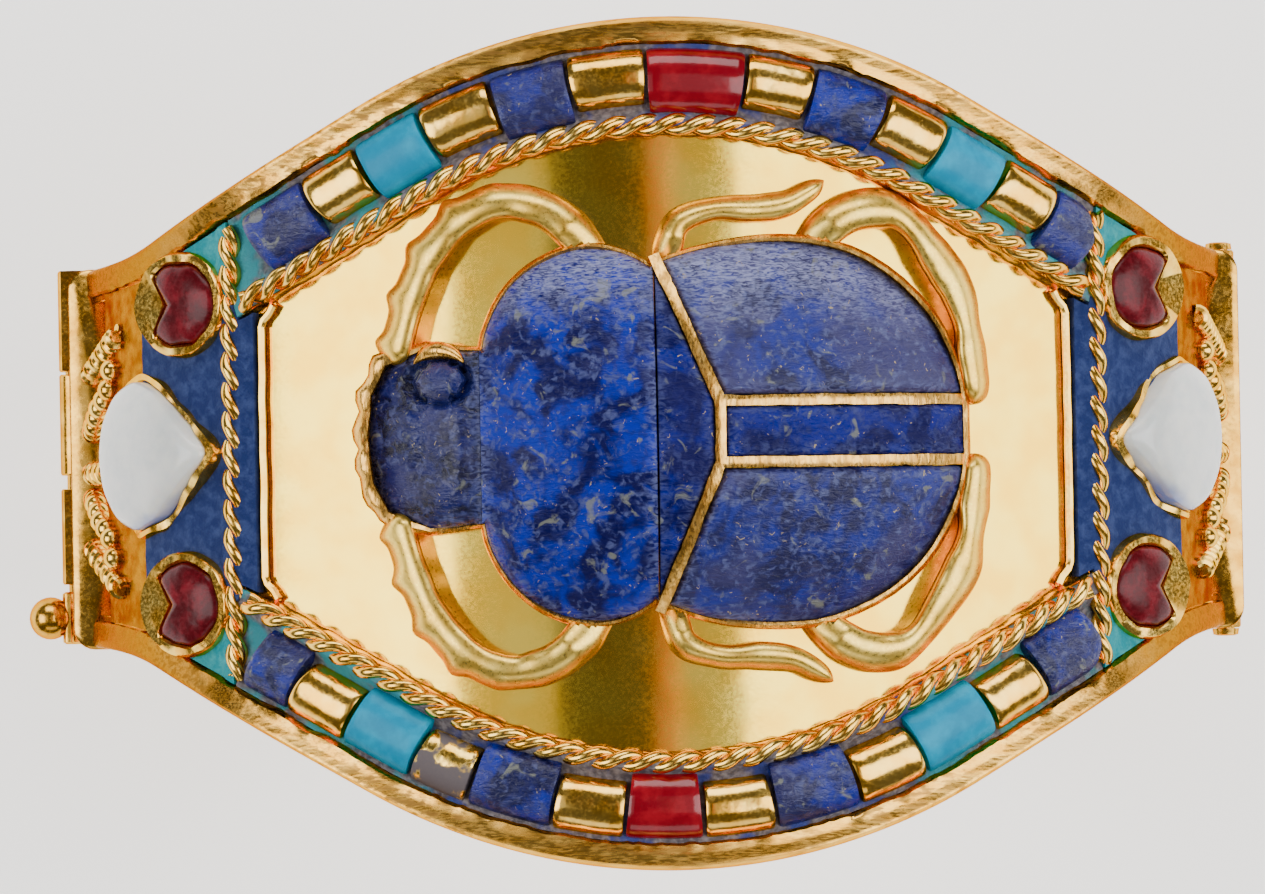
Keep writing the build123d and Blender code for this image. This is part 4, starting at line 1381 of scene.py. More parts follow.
@dataclass
class Border(Assembly):
    """Cement beds, half-round tiles and twisted ropes."""

    order: str = "LGTGLGCGLGTGL"
    top_start: float = -23.0
    bottom_start: float = -23.4
    top_lengths: tuple[float, ...] = (3.7, 3.2, 3.6, 3.8, 3.9, 3.9, 5.0, 3.5, 3.8, 3.4, 3.5, 3.2, 2.8)
    bottom_lengths: tuple[float, ...] = (2.7, 3.3, 3.8, 3.1, 4.3, 3.6, 3.9, 3.6, 4.3, 3.6, 4.2, 3.3, 3.8)
    smeared: tuple[str, int] = ("bottom", 4)
    joint: float = 0.26
    tile_edge: float = 1.65
    tile_rise: float = 1.15
    bed_height: float = 0.38
    bed_width: float = 4.65
    rope_pitch: float = 3.1
    strand_radius: float = 0.33
    strand_offset: float = 0.3
    row_rope_height: float = 1.02
    end_rope_height: float = 0.62

    def build(self) -> None:
        """Builds and dresses the border."""
        kinds = {kind.name[0]: kind for kind in Kind}
        rows = (
            ("top", 1, self.top_start, self.top_lengths),
            ("bottom", -1, self.bottom_start, self.bottom_lengths),
        )
        for name, end, start, lengths in rows:
            self.bed(name, end)
            for number, (letter, length) in enumerate(zip(self.order, lengths), 1):
                self.tile(name, number, kinds[letter], start, start + length, end)
                start += length
            self.row_rope(name, end)
        self.end_rope("left", -1)
        self.end_rope("right", 1)

    def bed(self, name: str, end: int) -> None:
        """The cement under and between the tiles of one row.

        Args:
            name: The row's name.
            end: 1 for the top row, -1 for the bottom row.
        """
        plate = self.plate
        xs = [plate.rope_end_x * (k / 130 - 1) for k in range(261)]
        insets = [plate.rim_width + self.bed_width * k / 24 for k in range(25)]

        def top(x: float, inset: float) -> Vector:
            """Lumpy face of the cement, banked up beside the rim and filling the rope."""
            bank = 0.35 * blend_step(2.2, plate.rim_width, inset) + 0.4 * blend_step(4.5, 5.2, inset)
            fill = 0.46 * blend_step(5.0, 5.4, inset) - 0.8 * blend_step(5.8, 6.1, inset)
            lump = 0.1 * noise(Vector((x * 1.1, inset * 1.3, end * 3.0)))
            h = self.bed_height + bank + fill * blend_step(22.1, 21.3, abs(x)) + lump
            return plate.stand(x, end * plate.edge(x, inset), h)

        draft = Draft()
        upper = [[top(x, inset) for inset in insets] for x in xs]
        lower = [[plate.stand(x, end * plate.edge(x, inset), 0.02) for inset in insets] for x in xs]
        draft.plate(upper, lower, lambda i, j: True)
        cement = self.palette["cement"]
        draft.finish(f"cement_{name}", cement, Body.PLAQUE, Slot.CEMENT, [f"channel_fill_{name}"])

    def tile(self, row: str, number: int, kind: Kind, start: float, stop: float, end: int) -> None:
        """A half-round tile that bends with its row, its ends worn round.

        Args:
            row: The row's name.
            number: The tile's number in its row.
            kind: What it is cut from.
            start: Where it starts along the row.
            stop: Where it ends.
            end: 1 for the top row, -1 for the bottom row.
        """
        finish, slot, width = kind.value
        if (row, number) == self.smeared:
            finish = "smeared_gold"
        seed = (start + 60) * (2 + end)
        low, high = start + self.joint / 2, stop - self.joint / 2
        middle = self.tile_edge + width / 2
        limit = self.plate.rope_end_x - 0.55
        loops = []
        stations = (0.0, 0.03, 0.08, 0.16, 0.3, 0.5, 0.7, 0.84, 0.92, 0.97, 1.0)
        for share in stations:
            worn = 1 - 0.07 * (1 - min(share, 1 - share) / 0.08) ** 2 if min(share, 1 - share) < 0.08 else 1.0
            uneven = 1 + wander(share, seed, 0.05, 1.5)
            loop = []
            for k in range(19):
                across = -cos(pi * k / 18)
                skew = wander(across, seed + 3, 0.18, 0.8) * (1 if share > 0.5 else -1) * abs(2 * share - 1)
                place = low + (high - low) * share + skew * 0.5
                h = 0.4 + self.tile_rise * worn * uneven * sqrt(max(1 - across * across, 0)) ** 0.9
                x, y = self.plate.row(place, middle + across * width / 2 * min(worn * 1.02, 1.0), end)
                loop.append(self.plate.stand(max(-limit, min(limit, x)), y, h))
            loops.append(loop)
        draft = Draft()
        draft.loft(loops)
        material, node = self.palette[finish], f"{row}_tile_{number:02d}"
        draft.finish(f"tile_{row}_{number:02d}", material, Body.PLAQUE, slot, [node], sharp=50)

    def rope(self, name: str, place: Callable[[float], tuple[Vector, Vector, Vector]], length: float) -> None:
        """A rope of two strands twisted round a line.

        Args:
            name: The rope's name.
            place: Centre, sideways and upward directions at a distance along the line.
            length: The line's length.
        """
        draft = Draft()
        steps = round(length / self.rope_pitch * 18)
        for strand in (0, pi):
            path = []
            for k in range(steps + 1):
                distance = length * k / steps
                centre, side, up = place(distance)
                turn = strand + 2 * pi * distance / self.rope_pitch
                across, lift = self.strand_offset * cos(turn), self.strand_offset * sin(turn)
                path.append(centre + side * across + up * lift)
            draft.wire(path, lambda share: self.strand_radius, 10)
        self.gild(draft, f"rope_{name}_wire", "wire_gold", [f"rope_{name}"])

    def row_rope(self, name: str, end: int) -> None:
        """The rope along one row of tiles.

        Args:
            name: The row's name.
            end: 1 for the top row, -1 for the bottom row.
        """
        plate = self.plate
        reach = plate.rope_end_x - 0.85
        xs = [reach * (k / 200 - 1) for k in range(401)]
        line = [plate.stand(x, end * plate.edge(x, plate.rope_inset), self.row_rope_height) for x in xs]
        sums = [0.0]
        for a, b in zip(line, line[1:]):
            sums.append(sums[-1] + (b - a).length)

        def place(distance: float) -> tuple[Vector, Vector, Vector]:
            """Centre and directions at a distance along the row."""
            i = bisect_right(sums, distance, 1, len(sums) - 1) - 1
            ahead = (line[i + 1] - line[i]).normalized()
            centre = line[i] + ahead * (distance - sums[i])
            angle = plate.slope(centre.x - HOOP_X)
            up = Vector((sin(angle), 0, cos(angle)))
            return centre, ahead.cross(up).normalized(), up

        self.rope(name, place, sums[-1])

    def end_rope(self, name: str, side: int) -> None:
        """The rope across the border at one end.

        Args:
            name: The end's name.
            side: 1 for the hinge end, -1 for the clasp end.
        """
        plate = self.plate
        half = plate.edge(plate.rope_end_x, plate.rim_width) - 0.4
        angle = plate.slope(side * plate.rope_end_x)
        up = Vector((sin(angle), 0, cos(angle)))
        across = Vector((cos(angle), 0, -sin(angle)))

        def place(distance: float) -> tuple[Vector, Vector, Vector]:
            """Centre and directions at a distance along the rope."""
            centre = plate.stand(side * plate.rope_end_x, distance - half, self.end_rope_height)
            return centre, across, up

        self.rope(name, place, 2 * half)


# The scarab


@dataclass
class Scarab(Assembly):
    """The carved lapis scarab with its bars, bezel and legs.

    Its outline, legs and bars are given about its own centre, which lies y up from the plaque's.
    """

    y: float = 0.5
    rise: float = 4.5
    long_radius: float = 21.8
    cross_radius: float = 18.2
    head_drop: float = 0.5
    bezel: float = 0.4
    bar: float = 0.54
    bar_reach: float = 0.28
    bar_end_x: float = 15.6
    point_step: float = 0.45
    neck_x: float = -9.9
    seam_x: float = -0.75
    chevron_x: float = 2.5
    strip: float = 1.6
    shoulder_y: float = 9.3
    strip_joint_x: float = 10.6
    eye_x: float = -12.0
    eye_y: float = 2.95
    eye_size: Spot = (1.35, 0.98)
    scallop: float = 0.5
    scallop_pitch: float = 1.75
    scallop_x: float = -9.0
    head: tuple[Spot, ...] = (
        (-9.9, 4.75), (-10.6, 4.8), (-12.6, 5.1), (-15.0, 4.1), (-15.9, 2.4), (-16.1, 0.0),
    )
    arcs: tuple[tuple[Spot, Spot, Spot], ...] = (
        ((-9.9, 4.9), (-8.1, 8.3), (-4.7, 10.0)),
        ((-4.7, 10.0), (-2.7, 9.8), (-0.9, 8.9)),
        ((-0.9, 8.9), (2.6, 10.0), (6.4, 10.3)),
        ((6.4, 10.3), (13.1, 7.4), (15.9, 0.0)),
    )
    front_leg: tuple[Section, ...] = (
        (-3.7, 9.0, 0.85), (-4.8, 10.6, 1.0), (-6.3, 11.8, 1.0), (-8.2, 12.3, 0.95), (-9.8, 12.0, 0.95),
        (-11.5, 10.8, 0.95), (-12.8, 9.0, 0.9), (-13.6, 7.0, 0.85), (-14.2, 4.9, 0.8), (-14.4, 3.9, 0.7),
    )
    middle_leg: tuple[Section, ...] = (
        (-0.1, 8.2, 0.7), (0.1, 9.9, 0.78), (0.7, 11.1, 0.74), (2.5, 11.7, 0.62), (4.6, 11.7, 0.72),
        (6.2, 11.9, 0.72), (7.4, 12.5, 0.58), (8.3, 13.1, 0.3),
    )
    hind_leg: tuple[Section, ...] = (
        (7.1, 9.1, 0.9), (8.4, 10.6, 1.0), (9.9, 11.5, 1.05), (11.6, 11.6, 0.98), (13.0, 10.8, 0.72),
        (14.3, 9.1, 0.92), (15.4, 7.3, 0.98), (15.9, 5.5, 0.72), (16.1, 3.9, 0.85), (16.3, 2.2, 0.72),
        (16.1, 1.3, 0.5),
    )
    leg_profile: tuple[Spot, ...] = (
        (-1, 0.03), (-1, 0.28), (-0.97, 0.4), (-0.9, 0.53), (-0.76, 0.68), (-0.55, 0.82), (-0.28, 0.93),
        (0, 0.99), (0.28, 1), (0.55, 0.97), (0.76, 0.91), (0.9, 0.83), (0.98, 0.72), (1, 0.6), (1, 0.03),
    )
    leg_rise: float = 1.8
    leg_root: float = 3.0
    leg_tip: float = 0.7
    tooth_pitch: float = 2.5
    tooth_size: float = 0.36
    tooth_start: Spot = (6.0, 8.0)

    def build(self) -> None:
        """Builds and dresses the scarab."""
        self.stones()
        self.setting()
        self.legs()

    @staticmethod
    def arc(start: Spot, middle: Spot, stop: Spot, steps: int) -> Plan:
        """Points of the arc through three points, without its first.

        Args:
            start: First point.
            middle: Point on the way.
            stop: Last point.
            steps: Number of points.

        Returns:
            The points.
        """
        (ax, ay), (bx, by), (cx, cy) = start, middle, stop
        d = 2 * (ax * (by - cy) + bx * (cy - ay) + cx * (ay - by))
        a2, b2, c2 = ax * ax + ay * ay, bx * bx + by * by, cx * cx + cy * cy
        ux = (a2 * (by - cy) + b2 * (cy - ay) + c2 * (ay - by)) / d
        uy = (a2 * (cx - bx) + b2 * (ax - cx) + c2 * (bx - ax)) / d
        radius = hypot(ax - ux, ay - uy)
        first, last = atan2(ay - uy, ax - ux), atan2(cy - uy, cx - ux)
        sweep = (last - first + pi) % (2 * pi) - pi
        turns = [first + sweep * k / steps for k in range(1, steps + 1)]
        return [(ux + radius * cos(turn), uy + radius * sin(turn)) for turn in turns]

    def outline(self) -> Plan:
        """The scarab's whole outline, a little uneven.

        Returns:
            Its corners about its centre, anticlockwise.
        """
        upper: Plan = list(self.head[::-1])
        for start, middle, stop in self.arcs:
            upper += self.arc(start, middle, stop, 14)
        lower = [(x, -y) for x, y in reversed(upper[1:-1])]
        even = even_plan((upper + lower)[::-1], self.point_step)
        return [(x + wander(y, 20, 0.06, 0.5), y + wander(x, 21, 0.06, 0.5)) for x, y in even]

    def dome(self, x: float, y: float) -> float:
        """Height of the domed back at a place about the scarab's centre."""
        ring = sqrt(self.long_radius**2 - x * x) - self.long_radius + self.cross_radius
        return self.plate.crown_z + self.rise - self.cross_radius + sqrt(max(ring * ring - y * y, 1.0))

    def stones(self) -> None:
        """The six carved stones."""
        whole = inset_plan(self.outline(), self.bezel * 0.6)
        half = self.bar / 2 + 0.03
        run = hypot(self.chevron_x - self.seam_x, self.shoulder_y - self.strip)
        nx, ny = (self.shoulder_y - self.strip) / run, (self.chevron_x - self.seam_x) / run
        line = nx * self.chevron_x + ny * self.strip
        body = cut_plan(whole, 1, 0, self.seam_x + 0.05)
        behind = cut_plan(body, nx, ny, line + half)
        front = cut_plan(cut_plan(body, -nx, -ny, half - line), -nx, ny, half - line)
        lower = cut_plan(body, nx, -ny, line + half)
        strip = cut_plan(cut_plan(body, 0, 1, half - self.strip), 0, -1, half - self.strip)
        strip = cut_plan(strip, 1, 0, self.chevron_x + half)
        regions = {
            "head": cut_plan(whole, -1, 0, -self.neck_x + 0.01),
            "thorax": cut_plan(cut_plan(whole, 1, 0, self.neck_x + 0.01), -1, 0, 0.05 - self.seam_x),
            "shoulder_plate": cut_plan(front, -1, 0, half - self.chevron_x),
            "back_strip": strip,
            "wing_case_top": cut_plan(behind, 0, 1, self.strip + half),
            "wing_case_bottom": cut_plan(lower, 0, -1, self.strip + half),
        }
        finishes = {"head": "head_lapis", "thorax": "thorax_lapis", "wing": "wing_lapis"}

        def floor(x: float, y: float) -> Vector:
            """Point of a stone's underside."""
            return self.plate.lift(x, y + self.y, 0.08)

        for name, region in regions.items():
            draft = Draft()
            draft.relief(even_plan(region, self.point_step), self.carver(name), floor, spacing=0.3)
            finish, node = finishes.get(name.split("_")[0], "plate_lapis"), f"scarab_{name}"
            draft.finish(node + "_stone", self.palette[finish], Body.PLAQUE, Slot.LAPIS, [node], sharp=45)

    def carver(self, name: str) -> Callable[[float, float, float], Vector]:
        """How a stone's top is carved.

        Args:
            name: The stone.

        Returns:
            A function from x, y and distance from the edge to a point.
        """
        round_edge = {"back_strip": 0.25, "shoulder_plate": 0.3}.get(name, 0.55)

        def groove(distance: float, width: float, depth: float) -> float:
            """Depth of a carved line at a distance from it."""
            return -depth * max(0.0, 1 - (distance / width) ** 2) ** 2

        def top(x: float, y: float, d: float) -> Vector:
            """Point of the carved top."""
            z = self.dome(x, y)
            crisp = round_edge
            for joint, sharpness in ((self.neck_x, 0.01), (self.seam_x, 0.05)):
                if abs(d - abs(x - joint)) < 0.1:
                    crisp = sharpness
            if d < crisp:
                z -= crisp - sqrt(max(crisp**2 - (crisp - d) ** 2, 0.0))
            z += 0.05 * noise(Vector((x * 0.5, y * 0.5, 4.0))) - 0.06
            if name == "head":
                z -= self.head_drop + 0.35 * blend_step(-13.4, -16.2, x)
                long, cross = self.eye_size
                eye = hypot((x - self.eye_x) / long, (y - self.eye_y) / cross)
                z += 0.75 * sqrt(1 - eye * eye) - 0.15 if eye < 1 else groove(eye - 1.1, 0.34, 0.7)
                low_eye = hypot((x - self.eye_x) / long, (y + self.eye_y) / cross)
                z += 0.16 * max(0.0, 1 - low_eye * low_eye)
                z += groove(abs(y - 1.25 + 0.3 * (x + 12.2)), 0.3, 0.3) * blend_step(-12.0, -13.2, x)
                z += groove(abs(y + 1.1 - 0.3 * (x + 12.2)), 0.3, 0.22) * blend_step(-12.0, -13.2, x)
                z += groove(abs(x + 12.9 + 0.12 * y * y), 0.3, 0.22) * blend_step(2.4, 1.2, abs(y))
                z += groove(abs(x - self.neck_x), 1.3, 0.55)
            elif name == "thorax":
                z += groove(abs(x - self.neck_x), 2.2, 0.65)
                z += groove(abs(x - self.seam_x), 0.4, 0.06)
            elif name == "back_strip":
                z += groove(abs(x - self.strip_joint_x), 0.26, 0.12)
            return Vector((HOOP_X + x, y + self.y, z))

        return top

    def setting(self) -> None:
        """The thin bezel with its scalloped front, and the gold bars."""
        outline, wide = self.outline(), self.bezel
        profile = ((0, 0.05), (-0.02, 0.9), (0.05, 1.2), (0.2, 1.32), (0.36, 1.2), (wide, 0.9), (wide, 0.05))
        insets = [inset_plan(outline, inset) for inset, _ in profile]
        loops = []
        for i, (edge_x, edge_y) in enumerate(outline):
            out_x = edge_x - self.scallop_x
            extra = wander(i * self.point_step, 31, 0.18, 0.7)
            front = blend_step(-12.6, -14.2, edge_x)
            scallop = front * self.scallop * (0.3 + 0.7 * abs(sin(pi * (edge_y + 0.4) / self.scallop_pitch)))
            loop = []
            for (inset, h), plan in zip(profile, insets):
                x, y = plan[i]
                out = scallop * (1 - inset / wide) / hypot(out_x, edge_y)
                x, y = x + out_x * out, y + edge_y * out
                loop.append(self.plate.lift(x, y + self.y, h + (extra if h > 0.5 else 0)))
            loops.append(loop)
        draft = Draft()
        draft.loft(loops, closed=True)
        brow = []
        for k in range(15):
            angle = radians(36 + 108 * k / 14)
            x, y = self.eye_x + 1.6 * cos(angle), self.eye_y + 1.64 * sin(angle)
            brow.append(Vector((HOOP_X + x, y + self.y, self.dome(x, y) - self.head_drop - 0.22)))
        draft.wire(brow, lambda share: 0.05 + 0.42 * sin(pi * share), 12)
        for way in (1, -1):
            corner = (self.chevron_x, way * self.strip)
            self.bar_strip(draft, (self.seam_x, way * self.shoulder_y), corner, 40 + way)
            self.bar_strip(draft, corner, (self.bar_end_x, way * self.strip), 44 + way)
        self.bar_strip(draft, (self.chevron_x, -self.strip), (self.chevron_x, self.strip), 48)
        self.gild(draft, "scarab_bezel", "bar_gold", ["scarab_setting"])

    def bar_strip(self, draft: Draft, start: Spot, stop: Spot, seed: float) -> None:
        """One gold bar let into the back, its edges uneven.

        Args:
            draft: Mesh that takes it.
            start: First end about the scarab's centre.
            stop: Last end.
            seed: Which of the uneven lines it follows.
        """
        length = hypot(stop[0] - start[0], stop[1] - start[1])
        dx, dy = (stop[0] - start[0]) / length, (stop[1] - start[1]) / length
        steps = max(4, round(length / 0.35))
        slope = ((1, -0.9), (1, 0.06), (0.6, 0.08))
        loops = []
        for k in range(steps + 1):
            s = length * k / steps
            x, y = start[0] + dx * s, start[1] + dy * s
            left, right = (
                self.bar_reach + wander(s, seed + edge, 0.07, 0.6) + wander(s, seed + 9 + edge, 0.05, 2.6)
                for edge in (0, 0.5)
            )
            low = self.plate.lift(x, self.y, 0.1).z
            profile = [(-left * share, lift) for share, lift in slope] + [(0, 0.1)]
            profile += [(right * share, lift) for share, lift in reversed(slope)]
            loop = []
            for across, lift in profile:
                px, py = x - dy * across, y + dx * across
                loop.append(Vector((HOOP_X + px, py + self.y, max(self.dome(px, py) + lift, low))))
            loops.append(loop)
        draft.loft(loops)

    def legs(self) -> None:
        """The six raised legs."""
        draft = Draft()
        for way in (1, -1):
            self.leg(draft, self.front_leg, way, 1, way, self.tooth_size)
            self.leg(draft, self.middle_leg, way, -1, 4 + way, 0.0)
            self.leg(draft, self.hind_leg, way, -1, 8 + way, 0.0)
        self.gild(draft, "scarab_legs", "leg_gold")

    def leg(
        self, draft: Draft, sections: Sequence[Section], way: int, inner: int, seed: float, tooth: float
    ) -> None:
        """One leg, higher and upright on its inner side, which rises from under the bezel.

        Args:
            draft: Mesh that takes it.
            sections: x, y and half width from the body outwards.
            way: 1 for the upper side, -1 for the lower.
            inner: 1 where the body lies to the left on the way out, -1 where it lies to the right.
            seed: Which of the uneven lines it follows.
            tooth: How far the teeth of its outer edge stand out.
        """
        line: list[Vector] = []
        knots = [Vector(s) for s in (sections[0], *sections, sections[-1])]
        for a, b, c, d in zip(knots, knots[1:], knots[2:], knots[3:]):
            for k in range(10):
                t = k / 10
                point = 2 * b + (c - a) * t + (2 * a - 5 * b + 4 * c - d) * t**2
                line.append(0.5 * (point + (3 * b - a - 3 * c + d) * t**3))
        line.append(knots[-1])
        loops = []
        outline = self.outline()
        gone = 0.0
        whole = sum(hypot(b.x - a.x, b.y - a.y) for a, b in zip(line, line[1:]))
        for i, here in enumerate(line):
            ahead = line[min(i + 1, len(line) - 1)] - line[max(i - 1, 0)]
            size = hypot(ahead.x, ahead.y)
            nx, ny = -ahead.y / size * inner, ahead.x / size * inner
            if i:
                gone += hypot(here.x - line[i - 1].x, here.y - line[i - 1].y)
            tip = sqrt(max(1 - max(0.0, (gone - whole + self.leg_tip) / self.leg_tip) ** 2, 0.03))
            half = here.z * tip * (1 + wander(gone, seed, 0.08, 0.8))
            peak = self.leg_rise * (0.7 + 0.3 * min(half, 1.0)) + wander(gone, seed + 9, 0.14, 0.5)
            top = min(peak, 0.8 + 0.4 * gone) * (0.75 + 0.25 * tip)
            wave = abs(sin(pi * gone / self.tooth_pitch)) ** 5
            bump = tooth * wave * blend_step(*self.tooth_start, gone) * blend_step(whole, whole - 1.2, gone)
            loop = []
            for across, up in self.leg_profile:
                reach = half * across + min(bump * across, 0.0)
                x, y = here.x + nx * reach, way * (here.y + ny * reach)
                rooted = gone < self.leg_root and inside(outline, x, y)
                buried = rooted and edge_distance(outline, x, y) > 0.2
                loop.append(self.plate.lift(x, y + self.y, 0.04 if buried else max(top * up, 0.06)))
            loops.append(loop)
        draft.loft(loops)


# The two ends


@dataclass
class EndOrnaments(Assembly):
    """Inlay, poppy buds, mandrake, wrapped stems and granules of one end."""

    side: int
    name: str
    inlay_height: float = 0.64
    panel_half_height: float = 7.85
    bud_x: float = 25.9
    bud_y: float = 8.0
    bud_tilt: float = 40.0
    bud_stand: float = 1.9
    cup_size: Spot = (3.1, 2.8)
    bud_size: Spot = (2.5, 2.2)
    mandrake_x: float = 26.89
    mandrake_tilt: float = 54.0
    mandrake_rise: float = 2.2
    mandrake_crown: float = 14.0
    mandrake_half: tuple[Spot, ...] = (
        (-5.3, 0.0), (-1.2, 3.4), (0.9, 4.05), (2.7, 3.45), (3.9, 1.9), (4.25, 0.0),
    )
    stems: tuple[tuple[Spot, Spot], ...] = (
        ((2.0, 4.6), (8.8, 6.6)), ((2.0, -0.8), (7.2, -0.8)), ((2.0, -5.0), (8.8, -7.2)),
    )
    stem_radius: float = 0.36
    coil_pitch: float = 0.72
    coil_radius: float = 0.42
    coil_wire: float = 0.27
    granules: tuple[Spot, ...] = (
        (7.7, 4.75), (7.2, 3.7), (6.25, 3.15), (5.2, 2.75), (4.2, 2.25), (3.2, 1.8), (2.3, 1.5),
    )
    granule_radius: float = 0.64
    granule_shift: float = 0.7

    def build(self) -> None:
        """Builds and dresses one end."""
        self.inlay()
        for end, name in ((1, "top"), (-1, "bottom")):
            self.bud(end, name)
        self.mandrake()
        self.wires()

    def inlay(self) -> None:
        """The blue field and its two turquoise corners."""
        plate = self.plate

        def middle(x: float) -> Spot:
            """Reach of the blue field."""
            half = min(plate.edge(x, 6.3), self.panel_half_height) if x < 22.2 else self.panel_half_height
            return -half, half

        node = f"enamel_panel_{self.name}"
        self.patch("blue_inlay", self.name, Slot.BLUE_ENAMEL, node, (21.45, 27.4), middle)
        for end, end_name in ((1, "top"), (-1, "bottom")):

            def corner(x: float, end: int = end) -> Spot:
                """Reach of a turquoise corner."""
                pair = (end * (self.panel_half_height + 0.1), end * max(plate.edge(x, 1.5), 8.3))
                return min(pair), max(pair)

            place = f"{self.name}_{end_name}"
            node = f"enamel_corner_{place}"
            self.patch("turquoise_inlay", place, Slot.TURQUOISE_ENAMEL, node, (22.65, 26.4), corner)

    def patch(
        self, finish: str, place: str, slot: Slot, node: str, reach: Spot, limits: Callable[[float], Spot]
    ) -> None:
        """One flush field of inlay between two lines across the wrist.

        Args:
            finish: Its finish.
            place: Where it is, for its name.
            slot: The record's slot.
            node: The CAD node it stands for.
            reach: Its near and far x.
            limits: Its low and high y at an x.
        """
        near, far = reach
        xs = [near + (far - near) * k / 26 for k in range(27)]

        def point(x: float, share: float, deep: bool) -> Vector:
            """Point of the inlay's face or underside, at a share of the way between the lines."""
            low, high = limits(x)
            y = low + (high - low) * share
            bank = 0.22 * blend_step(0.85, 0.35, abs(x - self.plate.rope_end_x))
            lump = 0.05 * noise(Vector((x * 1.2, y * 1.2, self.side)))
            return self.plate.stand(self.side * x, y, 0.05 if deep else self.inlay_height + bank + lump)

        sheets = [[[point(x, k / 32, deep) for k in range(33)] for x in xs] for deep in (False, True)]
        draft = Draft()
        draft.plate(*sheets, lambda i, j: True)
        draft.finish(f"{finish}_{place}", self.palette[finish], Body.PLAQUE, slot, [node])

    @staticmethod
    def ray(outline: Plan, angle: float) -> float:
        """Distance from the centre to the outline.

        Args:
            outline: Its corners.
            angle: The direction.

        Returns:
            The distance.
        """
        dx, dy = cos(angle), sin(angle)
        best = 0.0
        for i, (bx, by) in enumerate(outline):
            ax, ay = outline[i - 1]
            ex, ey = bx - ax, by - ay
            cross = dx * ey - dy * ex
            if abs(cross) < 1e-9:
                continue
            t = (ax * ey - ay * ex) / cross
            s = (ax * dy - ay * dx) / cross
            if t > 0 and -1e-6 <= s <= 1 + 1e-6:
                best = max(best, t)
        return best

    def bud(self, end: int, name: str) -> None:
        """A flared cup and its dark red stone, with a gold notch on the collar side.

        Args:
            end: 1 for the top bud, -1 for the bottom one.
            name: The end's name.
        """
        seat = Seat.on(self.plate, self.side * self.bud_x, end * self.bud_y, self.bud_tilt, self.bud_stand)
        sides = 72
        seed = self.side * 3 + end
        cup: list[Loop] = [[] for _ in range(6)]
        stone_edge: list[Section] = []
        for k in range(sides):
            angle = 2 * pi * k / sides
            ca, sa = cos(angle), sin(angle)
            outer = 1 / hypot(ca / self.cup_size[0], sa / self.cup_size[1])
            inner = 1 / hypot(ca / self.bud_size[0], sa / self.bud_size[1]) + wander(k * 0.3, seed, 0.12, 0.8)
            towards = ca * self.side
            if towards > 0.3:
                inner = min(inner, 0.8 / max(towards - 0.62 * abs(sa), 0.32))
            lip = wander(k * 0.3, seed + 5, 0.16, 0.5)
            flare = (seat.x_dir * ca + Vector((0, sa, 0))) * 0.09 - seat.z_dir
            rim = seat.point(outer * ca, outer * sa, -0.15)
            cup[0].append(self.plate.drop(rim, flare, -0.45))
            cup[1].append(rim)
            cup[2].append(seat.point((outer - 0.12) * ca, (outer - 0.12) * sa, lip))
            cup[3].append(seat.point((inner + 0.14) * ca, (inner + 0.14) * sa, lip + 0.02))
            cup[4].append(seat.point(inner * ca, inner * sa, -0.15 + lip))
            cup[5].append(seat.point(inner * ca, inner * sa, -1.35))
            stone_edge.append((inner - 0.02, ca, sa))
        draft = Draft()
        draft.loft(cup)
        self.gild(draft, f"bud_cup_{self.name}_{name}", "wire_gold")
        loops = [[seat.point(r * ca, r * sa, -1.3) for r, ca, sa in stone_edge]]
        slope = ((1, -0.25), (0.96, -0.08), (0.88, 0.04), (0.7, 0.17), (0.45, 0.28), (0.2, 0.33))
        for share, height in slope:
            loops.append([seat.point(r * share * ca, r * share * sa, height) for r, ca, sa in stone_edge])
        stone = Draft()
        stone.dome(loops, seat.point(0, 0, 0.34))
        node = f"poppy_bud_{self.name}_{name}"
        finish = self.palette["bud_stone"]
        stone.finish(node + "_stone", finish, Body.PLAQUE, Slot.CARNELIAN, [node], sharp=45)

    def mandrake(self) -> None:
        """The milky leaf-shaped stone and its uneven bezel."""
        side, half = self.side, self.mandrake_half
        seat = Seat.on(self.plate, side * self.mandrake_x, 0, self.mandrake_tilt, 0)
        corners: Plan = [(side * a, b) for a, b in half] + [(side * a, -b) for a, b in reversed(half[1:-1])]
        sides = 96
        reach = [self.ray(corners, 2 * pi * k / sides) for k in range(sides)]
        for _ in range(3):
            reach = [(reach[k - 1] + 2 * reach[k] + reach[(k + 1) % sides]) / 4 for k in range(sides)]
        down = -seat.z_dir
        loops: list[Loop] = [[] for _ in range(9)]
        bezel: list[Loop] = [[] for _ in range(6)]
        for k, radius in enumerate(reach):
            ca, sa = cos(2 * pi * k / sides), sin(2 * pi * k / sides)
            loops[0].append(self.plate.drop(seat.point(radius * ca, radius * sa, 4), down, 0.08))
            for n, share in enumerate((1.0, 0.975, 0.93, 0.85, 0.7, 0.5, 0.3, 0.12), 1):
                r = radius * share
                z = self.mandrake_rise - self.mandrake_crown + sqrt(self.mandrake_crown**2 - r * r)
                z -= 0.35 * max(0.0, (share - 0.85) / 0.15) ** 2
                loops[n].append(seat.point(r * ca, r * sa, z))
            collar_side = blend_step(0.1, 0.6, ca * side)
            tip_side = blend_step(0.9, 1.0, -ca * side)
            rise = 0.95 - 0.35 * collar_side + 0.4 * tip_side + wander(k * 0.3, 60 + side, 0.8, 0.3)
            wide = 0.42 + 0.25 * tip_side + wander(k * 0.3, 64 + side, 0.2, 0.6)
            rise = max(rise, 0.3)
            levels = (
                (0.04, -0.3), (0.04, rise - 0.12), (0.15, rise), (wide, rise - 0.05),
                (wide + 0.06, rise - 0.3), (wide + 0.1, -0.3),
            )
            for n, (out, h) in enumerate(levels):
                r = radius + out
